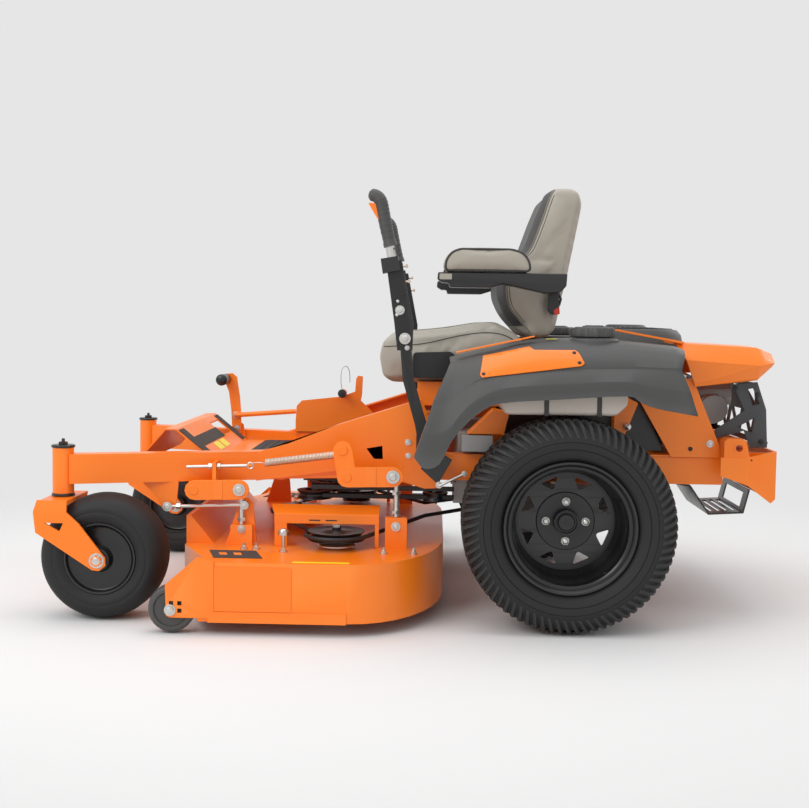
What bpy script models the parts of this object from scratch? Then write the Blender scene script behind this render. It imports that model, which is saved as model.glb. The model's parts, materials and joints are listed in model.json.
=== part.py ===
"""Zero turn mower: frame, wheels, seat, lap bars, engine and a lifting mower deck.

Metres, +Z up. The mower's front faces -X and its driver's left side faces -Y.
Sizes below are in the mower's own layout, whose Y = 0 is the centre plane; the
root empty moves that layout so that the origin is under the middle of the box.
"""
import math

import bmesh
import bpy
from mathutils import Matrix, Vector

# ---- Driving dimensions -----------------------------------------------------
ROOT_SHIFT = Vector((0.0500, -0.1113, 0.0))
GAP = 0.0003

SIDES = {"left": -1, "right": 1}

REAR_AXLE_X = 0.355
REAR_WHEEL_R = 0.277
REAR_TYRE_OUT = 0.620
REAR_TYRE_WIDTH = 0.235
RIM_LIP_R = 0.168
RIM_BARREL_R = 0.1505
HUB_FACE_Y = 0.471

CASTER_PIVOT = Vector((-0.983, 0.475, 0.0))
CASTER_TRAIL = 0.115
CASTER_R = 0.165
CASTER_HALF_WIDTH = 0.075
PIVOT_TUBE_Z = (0.329, 0.450)

RAIL_Z = (0.355, 0.4335)
RAIL_BEND_X = -0.45
RAIL_REAR_X = 0.80
RAIL_Y = (0.280, 0.332)

DECK_HALF_WIDTH = 0.660
DECK_TOP = 0.185
DECK_BOTTOM = 0.034
DECK_WALL = 0.005
DECK_FRONT_X = -0.668
DECK_REAR_X = 0.035
SPINDLE_Y = 0.42
SPINDLE_X = -0.256
CENTER_SPINDLE_X = -0.405
PULLEY_R = 0.077
BLADE_LENGTH = 0.440
BELT_Z = 0.219
ROLLER_AXLE = (-0.655, 0.0625)
CHUTE_HINGE = (0.674, 0.176)
CLUTCH = Vector((0.46, 0.0, 0.312))

FRONT_ARM_PIVOT = (-0.639, 0.336)
FRONT_ARM_END = (-0.518, 0.339)
REAR_ARM_PIVOT = (-0.228, 0.378)
REAR_ARM_END = (-0.104, 0.381)
ARM_PLATE_Y = (0.432, 0.440)
HANGER_Y = 0.420

SEAT_TILT_PIVOT = (-0.050, 0.560)
ARMREST_PIVOT = (0.330, 0.912)
LEVER_PIVOT = (-0.020, 0.440)
LEVER_SWING = (0.4045, 0.472)
FUEL_CAP = (0.422, 0.450)

PAINT = {
    "orange": ((0.90, 0.16, 0.01, 1), 0.35, 0.0),
    "dark_plastic": ((0.075, 0.075, 0.078, 1), 0.5, 0.0),
    "black_steel": ((0.015, 0.015, 0.016, 1), 0.45, 0.3),
    "rubber": ((0.02, 0.02, 0.02, 1), 0.8, 0.0),
    "vinyl": ((0.40, 0.37, 0.32, 1), 0.55, 0.0),
    "zinc": ((0.60, 0.60, 0.58, 1), 0.3, 1.0),
    "aluminium": ((0.50, 0.50, 0.50, 1), 0.45, 1.0),
    "tank": ((0.55, 0.53, 0.50, 1), 0.5, 0.0),
    "grey_steel": ((0.11, 0.115, 0.12, 1), 0.45, 0.2),
    "spring_steel": ((0.62, 0.50, 0.40, 1), 0.35, 0.9),
    "red_knob": ((0.75, 0.05, 0.02, 1), 0.4, 0.0),
}


# ---- Scene helpers ----------------------------------------------------------
def clear_scene():
    for obj in list(bpy.data.objects):
        bpy.data.objects.remove(obj, do_unlink=True)


def make_material(name):
    colour, roughness, metallic = PAINT[name]
    material = bpy.data.materials.new(name)
    material.use_nodes = True
    shader = material.node_tree.nodes["Principled BSDF"]
    shader.inputs["Base Color"].default_value = colour
    shader.inputs["Roughness"].default_value = roughness
    shader.inputs["Metallic"].default_value = metallic
    return material


def link(obj):
    PART_COLLECTION.objects.link(obj)
    return obj


def make_empty(name, location, parent):
    empty = bpy.data.objects.new(name, None)
    empty.empty_display_size = 0.05
    empty.parent = parent
    empty.location = location
    return link(empty)


def closed_mesh(mesh):
    """Weld loose caps and turn every face of a closed mesh outwards."""
    work = bmesh.new()
    work.from_mesh(mesh)
    bmesh.ops.remove_doubles(work, verts=work.verts, dist=0.00001)
    bmesh.ops.recalc_face_normals(work, faces=work.faces)
    work.to_mesh(mesh)
    work.free()
    return mesh


def bake(obj):
    """Replace an object by a welded mesh of its evaluated shape."""
    bpy.context.view_layer.update()
    graph = bpy.context.evaluated_depsgraph_get()
    mesh = bpy.data.meshes.new_from_object(obj.evaluated_get(graph))
    mesh.transform(obj.matrix_world)
    name = obj.name
    bpy.data.objects.remove(obj, do_unlink=True)
    return link(bpy.data.objects.new(name, closed_mesh(mesh)))


def from_bmesh(work, name="solid"):
    mesh = bpy.data.meshes.new(name)
    work.to_mesh(mesh)
    work.free()
    return link(bpy.data.objects.new(name, closed_mesh(mesh)))


def box(low, high):
    work = bmesh.new()
    bmesh.ops.create_cube(work, size=1.0)
    low, high = Vector(low), Vector(high)
    size = high - low
    bmesh.ops.scale(work, vec=size, verts=work.verts)
    bmesh.ops.translate(work, vec=(low + high) / 2, verts=work.verts)
    return from_bmesh(work)


def side_box(side, x, y, z):
    """A box given by spans, with Y measured outwards from the centre plane."""
    ys = sorted((side * y[0], side * y[1]))
    return box((x[0], ys[0], z[0]), (x[1], ys[1], z[1]))


def cylinder(start, end, radius, segments=20, end_radius=None):
    start, end = Vector(start), Vector(end)
    work = bmesh.new()
    bmesh.ops.create_cone(work, cap_ends=True, segments=segments, radius1=radius,
                          radius2=radius if end_radius is None else end_radius,
                          depth=(end - start).length)
    turn = (end - start).to_track_quat("Z", "Y").to_matrix()
    bmesh.ops.rotate(work, matrix=turn, verts=work.verts)
    bmesh.ops.translate(work, vec=(start + end) / 2, verts=work.verts)
    return from_bmesh(work)


AXIS_TURN = {
    "Z": Matrix.Identity(4),
    "Y": Matrix(((1, 0, 0, 0), (0, 0, 1, 0), (0, 1, 0, 0), (0, 0, 0, 1))),
    "X": Matrix(((0, 0, 1, 0), (1, 0, 0, 0), (0, 1, 0, 0), (0, 0, 0, 1))),
}


def plate(points, low, high, axis="Y", holes=()):
    """A flat outline between two planes.

    Points are (x, z) for axis Y, (x, y) for axis Z and (y, z) for axis X.
    """
    curve = bpy.data.curves.new("outline", "CURVE")
    curve.dimensions = "2D"
    curve.fill_mode = "BOTH"
    curve.extrude = abs(high - low) / 2
    for ring in (points, *holes):
        spline = curve.splines.new("POLY")
        spline.points.add(len(ring) - 1)
        for point, (u, v) in zip(spline.points, ring):
            point.co = (u, v, 0.0, 1.0)
        spline.use_cyclic_u = True
    obj = link(bpy.data.objects.new("outline", curve))
    middle = (low + high) / 2
    obj.matrix_world = AXIS_TURN[axis] @ Matrix.Translation((0, 0, middle))
    return bake(obj)


def side_plate(side, points, y, holes=()):
    """A plate in an XZ plane, with Y measured outwards from the centre plane."""
    return plate(points, side * y[0], side * y[1], "Y", holes)


def lathe(profile, centre, axis, segments=32, closed=True):
    """Turn a profile of (radius, height along the axis) about an axis."""
    mesh = bpy.data.meshes.new("profile")
    edges = [(i, i + 1) for i in range(len(profile) - 1)]
    if closed:
        edges.append((len(profile) - 1, 0))
    mesh.from_pydata([(r, 0.0, a) for r, a in profile], edges, [])
    obj = link(bpy.data.objects.new("profile", mesh))
    screw = obj.modifiers.new("turn", "SCREW")
    screw.axis = "Z"
    screw.steps = segments
    screw.render_steps = segments
    screw.use_merge_vertices = True
    screw.merge_threshold = 0.0001
    obj.matrix_world = Matrix.Translation(centre) @ AXIS_TURN[axis]
    return bake(obj)


def tube(points, radius, cyclic=False, resolution=1):
    curve = bpy.data.curves.new("tube", "CURVE")
    curve.dimensions = "3D"
    curve.bevel_depth = radius
    curve.bevel_resolution = resolution
    curve.use_fill_caps = True
    spline = curve.splines.new("POLY")
    spline.points.add(len(points) - 1)
    for point, place in zip(spline.points, points):
        point.co = (*place, 1.0)
    spline.use_cyclic_u = cyclic
    return bake(link(bpy.data.objects.new("tube", curve)))


def shell(rows, thickness):
    """A grid of points, given row by row, as a sheet of even thickness."""
    work = bmesh.new()
    grid = [[work.verts.new(point) for point in row] for row in rows]
    for near, far in zip(grid, grid[1:]):
        for i in range(len(near) - 1):
            work.faces.new((near[i], near[i + 1], far[i + 1], far[i]))
    mesh = bpy.data.meshes.new("sheet")
    work.to_mesh(mesh)
    work.free()
    obj = link(bpy.data.objects.new("sheet", mesh))
    solidify = obj.modifiers.new("thickness", "SOLIDIFY")
    solidify.thickness = thickness
    solidify.offset = 0.0
    return bake(obj)


def boolean(target, tool, operation):
    modifier = target.modifiers.new("cut", "BOOLEAN")
    modifier.operation = operation
    modifier.solver = "EXACT"
    modifier.object = tool
    result = bake(target)
    bpy.data.objects.remove(tool, do_unlink=True)
    return result


def unite(first, *others):
    for other in others:
        first = boolean(first, other, "UNION")
    return first


def cut(target, *tools):
    for tool in tools:
        target = boolean(target, tool, "DIFFERENCE")
    return target


def strip(points, thickness):
    """The closed outline of a bent sheet, seen on edge, to the left of a line."""
    near = [Vector(p) for p in points]
    far = []
    for i, point in enumerate(near):
        before = (point - near[i - 1]).normalized() if i else None
        after = (near[i + 1] - point).normalized() if i < len(near) - 1 else None
        before = before or after
        after = after or before
        mean = (before + after).normalized()
        normal = Vector((-mean.y, mean.x))
        far.append(point + normal * thickness / max(0.5, mean.dot(after)))
    return [tuple(p) for p in near] + [tuple(p) for p in reversed(far)]


def arc(centre, radius, start, end, steps):
    """Points on a circle between two angles in degrees."""
    points = []
    for i in range(steps + 1):
        angle = math.radians(start + (end - start) * i / steps)
        points.append((centre[0] + radius * math.cos(angle),
                       centre[1] + radius * math.sin(angle)))
    return points


def capsule(a, b, radius, steps=6):
    """A bar with round ends, as an outline."""
    angle = math.degrees(math.atan2(b[1] - a[1], b[0] - a[0]))
    return (arc(b, radius, angle - 90, angle + 90, steps)
            + arc(a, radius, angle + 90, angle + 270, steps))


def smooth(obj, angle=35):
    obj.data.shade_smooth()
    obj.data.set_sharp_from_angle(angle=math.radians(angle))


def node(name, obj, material, joint=None):
    """Name a finished solid, colour it and hang it on its joint's empty."""
    parent = joint or ROOT
    bpy.context.view_layer.update()
    offset = parent.matrix_world.translation - ROOT_SHIFT
    obj.data.transform(Matrix.Translation(-offset))
    obj.name = name
    obj.data.name = name
    obj.data.materials.clear()
    obj.data.materials.append(MATERIALS[material])
    obj.parent = parent
    obj.location = (0, 0, 0)
    smooth(obj)
    return obj


# ---- Frame ------------------------------------------------------------------
def rail_front(side):
    """The splayed front half of a rail, seen from above."""
    inner, outer = RAIL_Y[0] + 0.0005, RAIL_Y[1] - 0.0005
    outline = [(-0.964, 0.450), (RAIL_BEND_X, inner), (-0.41, inner), (-0.41, outer),
               (RAIL_BEND_X, outer), (-0.960, 0.500)]
    return plate([(x, side * y) for x, y in outline], *RAIL_Z, "Z")


def rail_rear(side):
    outline = [(-0.43, 0.357), (-0.263, 0.362), (RAIL_REAR_X, 0.362),
               (RAIL_REAR_X, 0.436), (-0.43, 0.434)]
    solid = side_plate(side, outline, RAIL_Y)
    inner_y = (RAIL_Y[0] + 0.004, RAIL_Y[1] - 0.004)
    return cut(solid, side_box(side, (-0.38, 0.90), inner_y, (0.367, 0.431)))


RISER_TOP = [(-0.480, 0.433), (-0.40, 0.456), (-0.256, 0.513), (-0.069, 0.573), (-0.030, 0.586)]


def riser(side):
    """The rising side plate that carries the seat's end of the frame."""
    outline = RISER_TOP + [(0.000, 0.500), (0.004, 0.390), (0.015, 0.340), (-0.020, 0.338),
                           (-0.150, 0.376), (-0.263, 0.383), (-0.487, 0.352)]
    notch = [(-0.182, 0.447), (-0.138, 0.455), (-0.136, 0.418), (-0.160, 0.418)]
    wall = side_plate(side, outline, (0.3325, 0.342), [notch])
    line = [(x + 0.0005 if x < -0.4 else x - 0.0005, z - 0.0004) for x, z in RISER_TOP]
    flange = line + [(x, z - 0.005) for x, z in reversed(line)]
    return unite(wall, side_plate(side, flange, (0.300, 0.3415)))


def pivot_tube(side):
    bore, outer = 0.0175, 0.028
    bottom, top = PIVOT_TUBE_Z
    ring = [(bore, top), (outer, top), (outer, bottom), (bore, bottom)]
    return lathe(ring, (CASTER_PIVOT.x, side * CASTER_PIVOT.y, 0), "Z", 18)


def drag_tab(side):
    outline = [(-0.791, 0.358), (-0.687, 0.358), (-0.692, 0.300), (-0.700, 0.279),
               (-0.718, 0.273), (-0.733, 0.284), (-0.745, 0.312)]
    return side_plate(side, outline, (0.408, 0.416))


def build_frame_rail(label, side):
    rail = unite(rail_rear(side), rail_front(side), riser(side), pivot_tube(side), drag_tab(side))
    x, z = REAR_ARM_PIVOT
    rail = cut(rail, cylinder((x, side * 0.25, z), (x, side * 0.40, z), 0.0135, 16))
    if side == SIDES["left"]:
        tab = box((-0.592, -0.432, 0.358), (-0.582, -0.372, 0.412))
        eyebolt = cylinder((-0.663, -0.420, 0.397), (-0.486, -0.420, 0.403), 0.004, 10)
        rail = unite(rail, tab, eyebolt)
    node(f"{label}_frame_rail", rail, "orange")


def build_foot_platform():
    """The folded foot rest, the floor behind it and the wall up to the seat."""
    rest = [(-0.835, 0.384), (-0.7475, 0.485), (-0.719, 0.485), (-0.615, 0.400), (-0.560, 0.400)]
    floor = [(-0.600, 0.4008), (-0.072, 0.4008), (-0.066, 0.545)]
    front = plate(strip(rest, 0.004), -0.305, 0.305, "Y")
    rear = plate(strip(floor, 0.0045), -0.279, 0.279, "Y")
    top = box((-0.070, -0.279, 0.541), (0.020, 0.279, 0.5455))
    window = plate([(-0.700, 0.10), (-0.655, 0.10), (-0.655, 0.24), (-0.700, 0.24)], 0.40, 0.50, "Z")
    platform = cut(unite(rear, front, top), window)
    node("foot_platform", platform, "orange")


def build_rear_frame():
    """The engine plate between the rails, with both slanted uprights."""
    frame = box((0.40, -0.334, 0.4365), (0.797, 0.334, 0.4425))
    panel = [(0.560, 0.600), (0.655, 0.438), (0.795, 0.438), (0.795, 0.449), (0.7095, 0.651),
             (0.680, 0.655), (0.640, 0.640)]
    edge = [(0.7945, 0.449), (0.7095, 0.650), (0.705, 0.650), (0.790, 0.449)]
    for side in SIDES.values():
        wall = side_plate(side, panel, (0.333, 0.343))
        flange = side_plate(side, edge, (0.305, 0.3425))
        frame = unite(frame, wall, flange)
    node("rear_frame", frame, "orange")


def build_bumper():
    outer = [(0.777, 0.400), (0.845, 0.400), (0.934, 0.372)]
    ring = outer + [(x, -y) for x, y in reversed(outer)]
    inner = [(0.777, 0.394), (0.843, 0.394), (0.928, 0.368)]
    ring += inner_side(inner)
    wrap = plate(ring, 0.31, 0.48, "Z")
    side_view = [(0.770, 0.397), (0.852, 0.369), (0.921, 0.319), (0.940, 0.335), (0.940, 0.462),
                 (0.845, 0.445), (0.770, 0.444)]
    wrap = boolean(wrap, plate(side_view, -0.5, 0.5, "Y"), "INTERSECT")
    for side in SIDES.values():
        ear = [(0.786, 0.438), (0.786, 0.488), (0.794, 0.495), (0.836, 0.495), (0.846, 0.488),
               (0.856, 0.440)]
        hole = arc((0.826, 0.470), 0.0095, 0, 330, 11)
        wrap = unite(wrap, side_plate(side, ear, (0.345, 0.398), [hole]))
        wrap = unite(wrap, side_box(side, (0.8005, 0.8545), (0.300, 0.3465), (0.4445, 0.4545)))
        wrap = unite(wrap, side_box(side, (0.8485, 0.9300), (0.340, 0.3465), (0.400, 0.4540)))
        wrap = unite(wrap, side_box(side, (0.8485, 0.8545), (0.338, 0.350), (0.440, 0.4545)))
    node("rear_bumper", wrap, "orange")


def inner_side(points):
    return [(x, -y) for x, y in points] + [(x, y) for x, y in reversed(points)]


def build_rear_guard():
    """The bolted cage behind the engine, cut with triangular windows."""
    side_view = [(0.9275, 0.4640), (0.9215, 0.5695), (0.8950, 0.6455), (0.828, 0.638), (0.862, 0.566),
                 (0.783, 0.512), (0.783, 0.486), (0.862, 0.510), (0.880, 0.4640)]
    low = [(0.845, 0.520), (0.890, 0.546), (0.884, 0.505)]
    high = [(0.868, 0.625), (0.884, 0.628), (0.903, 0.585), (0.884, 0.580)]
    cage = side_plate(-1, side_view, (0.296, 0.301), [low, high])
    cage = unite(cage, side_plate(1, side_view, (0.296, 0.301), [low, high]))
    line = [(0.9262, 0.4655), (0.9202, 0.5690), (0.8940, 0.6435)]
    back = plate(strip(line, 0.0040), -0.2985, 0.2985, "Y")
    cage = unite(cage, back)
    pitch = 0.145
    for i in range(-2, 2):
        y = (i + 0.5) * pitch
        low = [(y - 0.055, 0.482), (y + 0.055, 0.482), (y, 0.553)]
        high = [(y - 0.050, 0.630), (y, 0.582), (y + 0.050, 0.630)]
        cage = cut(cage, plate(low, 0.80, 1.0, "X"), plate(high, 0.80, 1.0, "X"))
    for i in range(-1, 2):
        y = i * pitch
        low = [(y - 0.045, 0.556), (y, 0.498), (y + 0.045, 0.556)]
        cage = cut(cage, plate(low, 0.80, 1.0, "X"))
    node("rear_guard", cage, "grey_steel")


def build_step_plate():
    """The low step under the tail, hung between the rails and the bumper."""
    line = [(0.690, 0.3612), (0.699, 0.340), (0.750, 0.331), (0.806, 0.250), (0.908, 0.256),
            (0.925, 0.326)]
    step = plate(strip(line, 0.005), -0.150, 0.150, "Y")
    window = box((0.906, -0.105, 0.268), (0.960, 0.105, 0.312))
    slots = [box((0.820 + 0.022 * i, -0.11, 0.20), (0.832 + 0.022 * i, 0.11, 0.30)) for i in range(4)]
    step = cut(step, window, *slots)
    hangers = [side_box(s, (0.690, 0.716), (0.140, 0.2785), (0.3555, 0.3605)) for s in SIDES.values()]
    step = unite(step, *hangers)
    node("step_plate", step, "black_steel")


# ---- Body panels ------------------------------------------------------------
FENDER_ROWS = [
    # low x, low z, crease x, crease z, top x, top z
    (-0.046, 0.452, 0.000, 0.585, 0.044, 0.704),
    (-0.020, 0.425, 0.035, 0.592, 0.072, 0.711),
    (0.018, 0.436, 0.062, 0.612, 0.095, 0.717),
    (0.050, 0.497, 0.092, 0.634, 0.122, 0.724),
    (0.085, 0.540, 0.120, 0.650, 0.150, 0.730),
    (0.120, 0.570, 0.152, 0.660, 0.182, 0.738),
    (0.172, 0.594, 0.200, 0.667, 0.225, 0.749),
    (0.322, 0.606, 0.321, 0.680, 0.322, 0.760),
    (0.487, 0.617, 0.480, 0.685, 0.470, 0.758),
    (0.520, 0.604, 0.530, 0.685, 0.530, 0.754),
    (0.565, 0.587, 0.578, 0.684, 0.585, 0.749),
    (0.668, 0.569, 0.630, 0.683, 0.648, 0.743),
]


def fender_row(side, row):
    low_x, low_z, mid_x, mid_z, top_x, top_z = row
    drop = 0.012
    return [
        (low_x, side * 0.604, low_z),
        (low_x + (mid_x - low_x) * 0.55, side * 0.606, low_z + (mid_z - low_z) * 0.55),
        (mid_x, side * 0.590, mid_z - 0.008),
        (mid_x + 0.002, side * 0.578, mid_z + 0.006),
        (mid_x + (top_x - mid_x) * 0.8, side * 0.540, mid_z + (top_z - drop - mid_z) * 0.8),
        (top_x, side * 0.505, top_z - drop),
        (top_x, side * 0.360, top_z),
    ]


def build_fender(label, side):
    rows = [fender_row(side, row) for row in FENDER_ROWS]
    front = [(x - 0.002, y - side * 0.060 if i < 5 else y, z) for i, (x, y, z) in enumerate(rows[0])]
    node(f"{label}_fender", shell([front] + rows, 0.005), "dark_plastic")


def cowl_row(x, spans, lean=0.0):
    """One station of the cowl; its front edge leans back towards the bottom."""
    points = [(x + lean * (0.752 - z), -y, z) for y, z in spans]
    return points + [(px, -y, z) for px, y, z in reversed(points)]


def build_cowl():
    front = [(0.352, 0.634), (0.356, 0.640), (0.380, 0.704), (0.330, 0.748), (0.200, 0.752)]
    rear = [(0.328, 0.653), (0.336, 0.658), (0.358, 0.692), (0.312, 0.738), (0.190, 0.742)]
    tail = [(0.310, 0.690), (0.315, 0.692), (0.335, 0.700), (0.300, 0.722), (0.180, 0.728)]
    rows = [cowl_row(0.660, front, 0.45), cowl_row(0.885, rear), cowl_row(0.929, tail)]
    cowl = shell(rows, 0.005)
    back = plate([(-0.312, 0.690), (0.312, 0.690), (0.296, 0.7235), (-0.296, 0.7235)], 0.923, 0.930, "X")
    chin = shell([[(0.926, -0.311, 0.693), (0.926, 0.311, 0.693)],
                  [(0.885, -0.326, 0.655), (0.885, 0.326, 0.655)]], 0.005)
    cowl = unite(cowl, back, chin)
    for side in SIDES.values():
        arm = [(0.480, 0.783), (0.484, 0.788), (0.680, 0.754), (0.680, 0.748)]
        cowl = unite(cowl, side_plate(side, arm, (0.305, 0.352)))
    cowl = cut(cowl, cylinder((0.575, 0, 0.70), (0.575, 0, 0.85), 0.186, 28))
    node("rear_cowl", cowl, "orange")


def build_fuel_tank(label, side):
    outline = [(0.165, 0.600), (0.185, 0.562), (0.470, 0.562), (0.500, 0.590), (0.500, 0.655),
               (0.200, 0.655)]
    tank = side_plate(side, outline, (0.365, 0.560))
    node(f"{label}_fuel_tank", tank, "tank")


def build_fuel_cap(label, side):
    x, y = FUEL_CAP
    joint = make_empty(f"{label}_fuel_cap_axis", (x, side * y, 0.7615), ROOT)
    steps = 24
    rim = []
    for i in range(steps):
        angle = 2 * math.pi * i / steps
        radius = 0.0565 if i % 2 else 0.0540
        rim.append((x + radius * math.cos(angle), side * y + radius * math.sin(angle)))
    cap = plate(rim, 0.7670, 0.7880, "Z")
    crown = cylinder((x, side * y, 0.7875), (x, side * y, 0.7935), 0.050, 16, 0.042)
    neck = cylinder((x, side * y, 0.7615), (x, side * y, 0.7675), 0.042, 16)
    node(f"{label}_fuel_cap", unite(cap, crown, neck), "dark_plastic", joint)


# ---- Engine and drive -------------------------------------------------------
def build_engine():
    crankcase = box((0.440, -0.130, 0.4432), (0.740, 0.130, 0.560))
    heads = [side_box(s, (0.500, 0.700), (0.110, 0.235), (0.480, 0.620)) for s in SIDES.values()]
    fins = cylinder((0.575, 0, 0.550), (0.575, 0, 0.660), 0.150, 32)
    filter_can = cylinder((0.700, -0.08, 0.600), (0.870, -0.10, 0.605), 0.036, 20)
    muffler = cylinder((0.8085, -0.170, 0.560), (0.8085, 0.170, 0.560), 0.040, 20)
    pipe = cylinder((0.690, 0.160, 0.560), (0.800, 0.160, 0.560), 0.016, 12)
    block = unite(crankcase, *heads, fins, filter_can, pipe, muffler)
    node("engine_block", block, "aluminium")


def build_engine_shroud():
    top, rim = 0.800, 0.735
    profile = [(0.0, top), (0.055, top), (0.064, 0.793), (0.078, 0.790), (0.150, 0.786), (0.172, rim),
               (0.176, 0.6605), (0.168, 0.6605), (0.165, rim - 0.004), (0.145, 0.776), (0.0, 0.782)]
    shroud = lathe(profile, (0.575, 0, 0), "Z", 24, closed=False)
    node("engine_shroud", shroud, "dark_plastic")


def build_transaxle(label, side):
    case = side_box(side, (0.250, 0.470), (0.110, 0.272), (0.210, 0.350))
    pump = side_box(side, (0.060, 0.255), (0.130, 0.274), (0.290, 0.348))
    tower = side_box(side, (0.070, 0.170), (0.150, 0.274), (0.340, 0.492))
    head = side_box(side, (0.080, 0.165), (0.260, 0.365), (0.4455, 0.490))
    axle = cylinder((REAR_AXLE_X, side * 0.265, REAR_WHEEL_R), (REAR_AXLE_X, side * 0.384, REAR_WHEEL_R),
                    0.046, 20)
    stub = cylinder((REAR_AXLE_X, side * 0.380, REAR_WHEEL_R), (REAR_AXLE_X, side * 0.464, REAR_WHEEL_R),
                    0.024, 20)
    hanger = side_box(side, (0.300, 0.330), (0.276, 0.320), (0.300, 0.3595))
    hanger_root = side_box(side, (0.300, 0.330), (0.268, 0.280), (0.300, 0.340))
    solid = unite(case, pump, tower, head, axle, stub, hanger, hanger_root)
    node(f"{label}_transaxle", solid, "aluminium")


def build_clutch():
    joint = make_empty("clutch_axis", CLUTCH, ROOT)
    x, y, z = CLUTCH
    rotor = [(0.0, 0.1235), (0.019, 0.1235), (0.019, 0.045), (0.058, 0.045), (0.058, 0.010),
             (0.062, 0.008), (0.055, 0.0), (0.062, -0.008), (0.058, -0.012), (0.0, -0.012)]
    node("clutch_pulley", lathe(rotor, (x, y, z), "Z", 20, closed=False), "black_steel", joint)


# ---- Wheels -----------------------------------------------------------------
def wheel_axial(side, inset):
    """A Y for a distance in from the tyre's outer face."""
    return side * (REAR_TYRE_OUT - inset)


def build_rear_wheel(label, side):
    joint = make_empty(f"{label}_wheel_axis", (REAR_AXLE_X, side * 0.5, REAR_WHEEL_R), ROOT)
    disc = REAR_TYRE_OUT - HUB_FACE_Y
    rim_profile = [
        (0.0, disc), (0.105, disc), (0.146, disc - 0.010), (0.146, 0.030), (RIM_LIP_R, 0.014),
        (RIM_LIP_R, 0.019), (RIM_BARREL_R, 0.036), (RIM_BARREL_R, 0.205), (RIM_LIP_R, 0.218),
        (RIM_LIP_R, 0.223), (0.146, 0.212), (0.146, disc + 0.006), (0.0, disc + 0.006)]
    centre = (REAR_AXLE_X, 0, REAR_WHEEL_R)
    rim = lathe([(r, wheel_axial(side, a)) for r, a in rim_profile], centre, "Y", 24, closed=False)
    for i in range(8):
        rim = cut(rim, rim_window(side, i * 45 + 22.5))
    hub = cylinder((REAR_AXLE_X, side * 0.466, REAR_WHEEL_R), (REAR_AXLE_X, side * 0.505, REAR_WHEEL_R),
                   0.034, 16, 0.031)
    rim = unite(rim, hub)
    node(f"{label}_rim", rim, "black_steel", joint)

    tyre_profile = [
        (0.1530, 0.041), (0.172, 0.026), (0.195, 0.006), (0.222, 0.0), (0.262, 0.012),
        (REAR_WHEEL_R, 0.050), (REAR_WHEEL_R, 0.185), (0.262, 0.223), (0.222, 0.235),
        (0.195, 0.229), (0.1530, 0.200), (0.1530, 0.185), (0.250, 0.200), (0.250, 0.035),
        (0.1530, 0.055)]
    tyre = lathe([(r, wheel_axial(side, a)) for r, a in tyre_profile], centre, "Y", 28)
    node(f"{label}_tyre", tyre, "rubber", joint)


def rim_window(side, angle):
    """A cutter for one rounded triangle in the wheel's disc, wide at the rim."""
    corners = [(0.088, -9), (0.088, 9), (0.128, 15), (0.128, -15)]
    ring = []
    for radius, offset in corners:
        a = math.radians(angle + offset)
        ring.append((REAR_AXLE_X + radius * math.cos(a), REAR_WHEEL_R + radius * math.sin(a)))
    return side_plate(side, ring, (0.44, 0.50))


def fork_plate(side, y):
    outline = [(-1.018, 0.338), (-1.034, 0.290), (-1.028, 0.236), (-0.880, 0.140), (-0.862, 0.138),
               (-0.845, 0.152), (-0.846, 0.172), (-0.915, 0.261), (-0.947, 0.290), (-0.945, 0.338)]
    window = [(-1.005, 0.262), (-0.955, 0.262), (-0.965, 0.240)]
    return side_plate(side, outline, y, [window])


def build_caster(label, side):
    pivot_x, pivot_y = CASTER_PIVOT.x, side * CASTER_PIVOT.y
    swivel = make_empty(f"{label}_caster_axis", (pivot_x, pivot_y, 0.3), ROOT)
    wheel_x = pivot_x + CASTER_TRAIL
    outer = fork_plate(side, (0.563, 0.570))
    inner = fork_plate(side, (0.380, 0.387))
    bridge = side_box(side, (-1.018, -0.945), (0.3805, 0.5695), (0.3125, 0.3205))
    post = cylinder((pivot_x, pivot_y, 0.316), (pivot_x, pivot_y, 0.4505), 0.0165, 16)
    outer = cut(outer, side_box(side, (-1.06, -0.90), (0.5, 0.6), (0.3210, 0.40)))
    inner = cut(inner, side_box(side, (-1.06, -0.90), (0.35, 0.45), (0.3210, 0.40)))
    cap = cylinder((pivot_x, pivot_y, 0.4503), (pivot_x, pivot_y, 0.4565), 0.030, 18)
    nut = cylinder((pivot_x, pivot_y, 0.4560), (pivot_x, pivot_y, 0.4650), 0.012, 6)
    axle = cylinder((wheel_x, side * 0.385, CASTER_R), (wheel_x, side * 0.565, CASTER_R), 0.0095, 12)
    heads = [cylinder((wheel_x, side * a, CASTER_R), (wheel_x, side * b, CASTER_R), 0.015, 6)
             for a, b in ((0.372, 0.381), (0.569, 0.579))]
    fork = unite(bridge, outer, inner, post, cap, nut, axle, *heads)
    node(f"{label}_caster_fork", fork, "orange", swivel)

    spin = make_empty(f"{label}_caster_wheel_axis", (CASTER_TRAIL, 0, CASTER_R - 0.3), swivel)
    w = CASTER_HALF_WIDTH
    mid = side * CASTER_PIVOT.y
    half = [(0.0100, 0.084), (0.030, 0.084), (0.034, 0.063), (0.086, 0.060), (0.110, w),
            (0.138, w - 0.003), (0.157, w - 0.020), (CASTER_R, 0.022)]
    profile = half + [(r, -a) for r, a in reversed(half)]
    wheel = lathe([(r, mid + a) for r, a in profile], (wheel_x, 0, CASTER_R), "Y", 24)
    node(f"{label}_caster_wheel", wheel, "rubber", spin)


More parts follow.
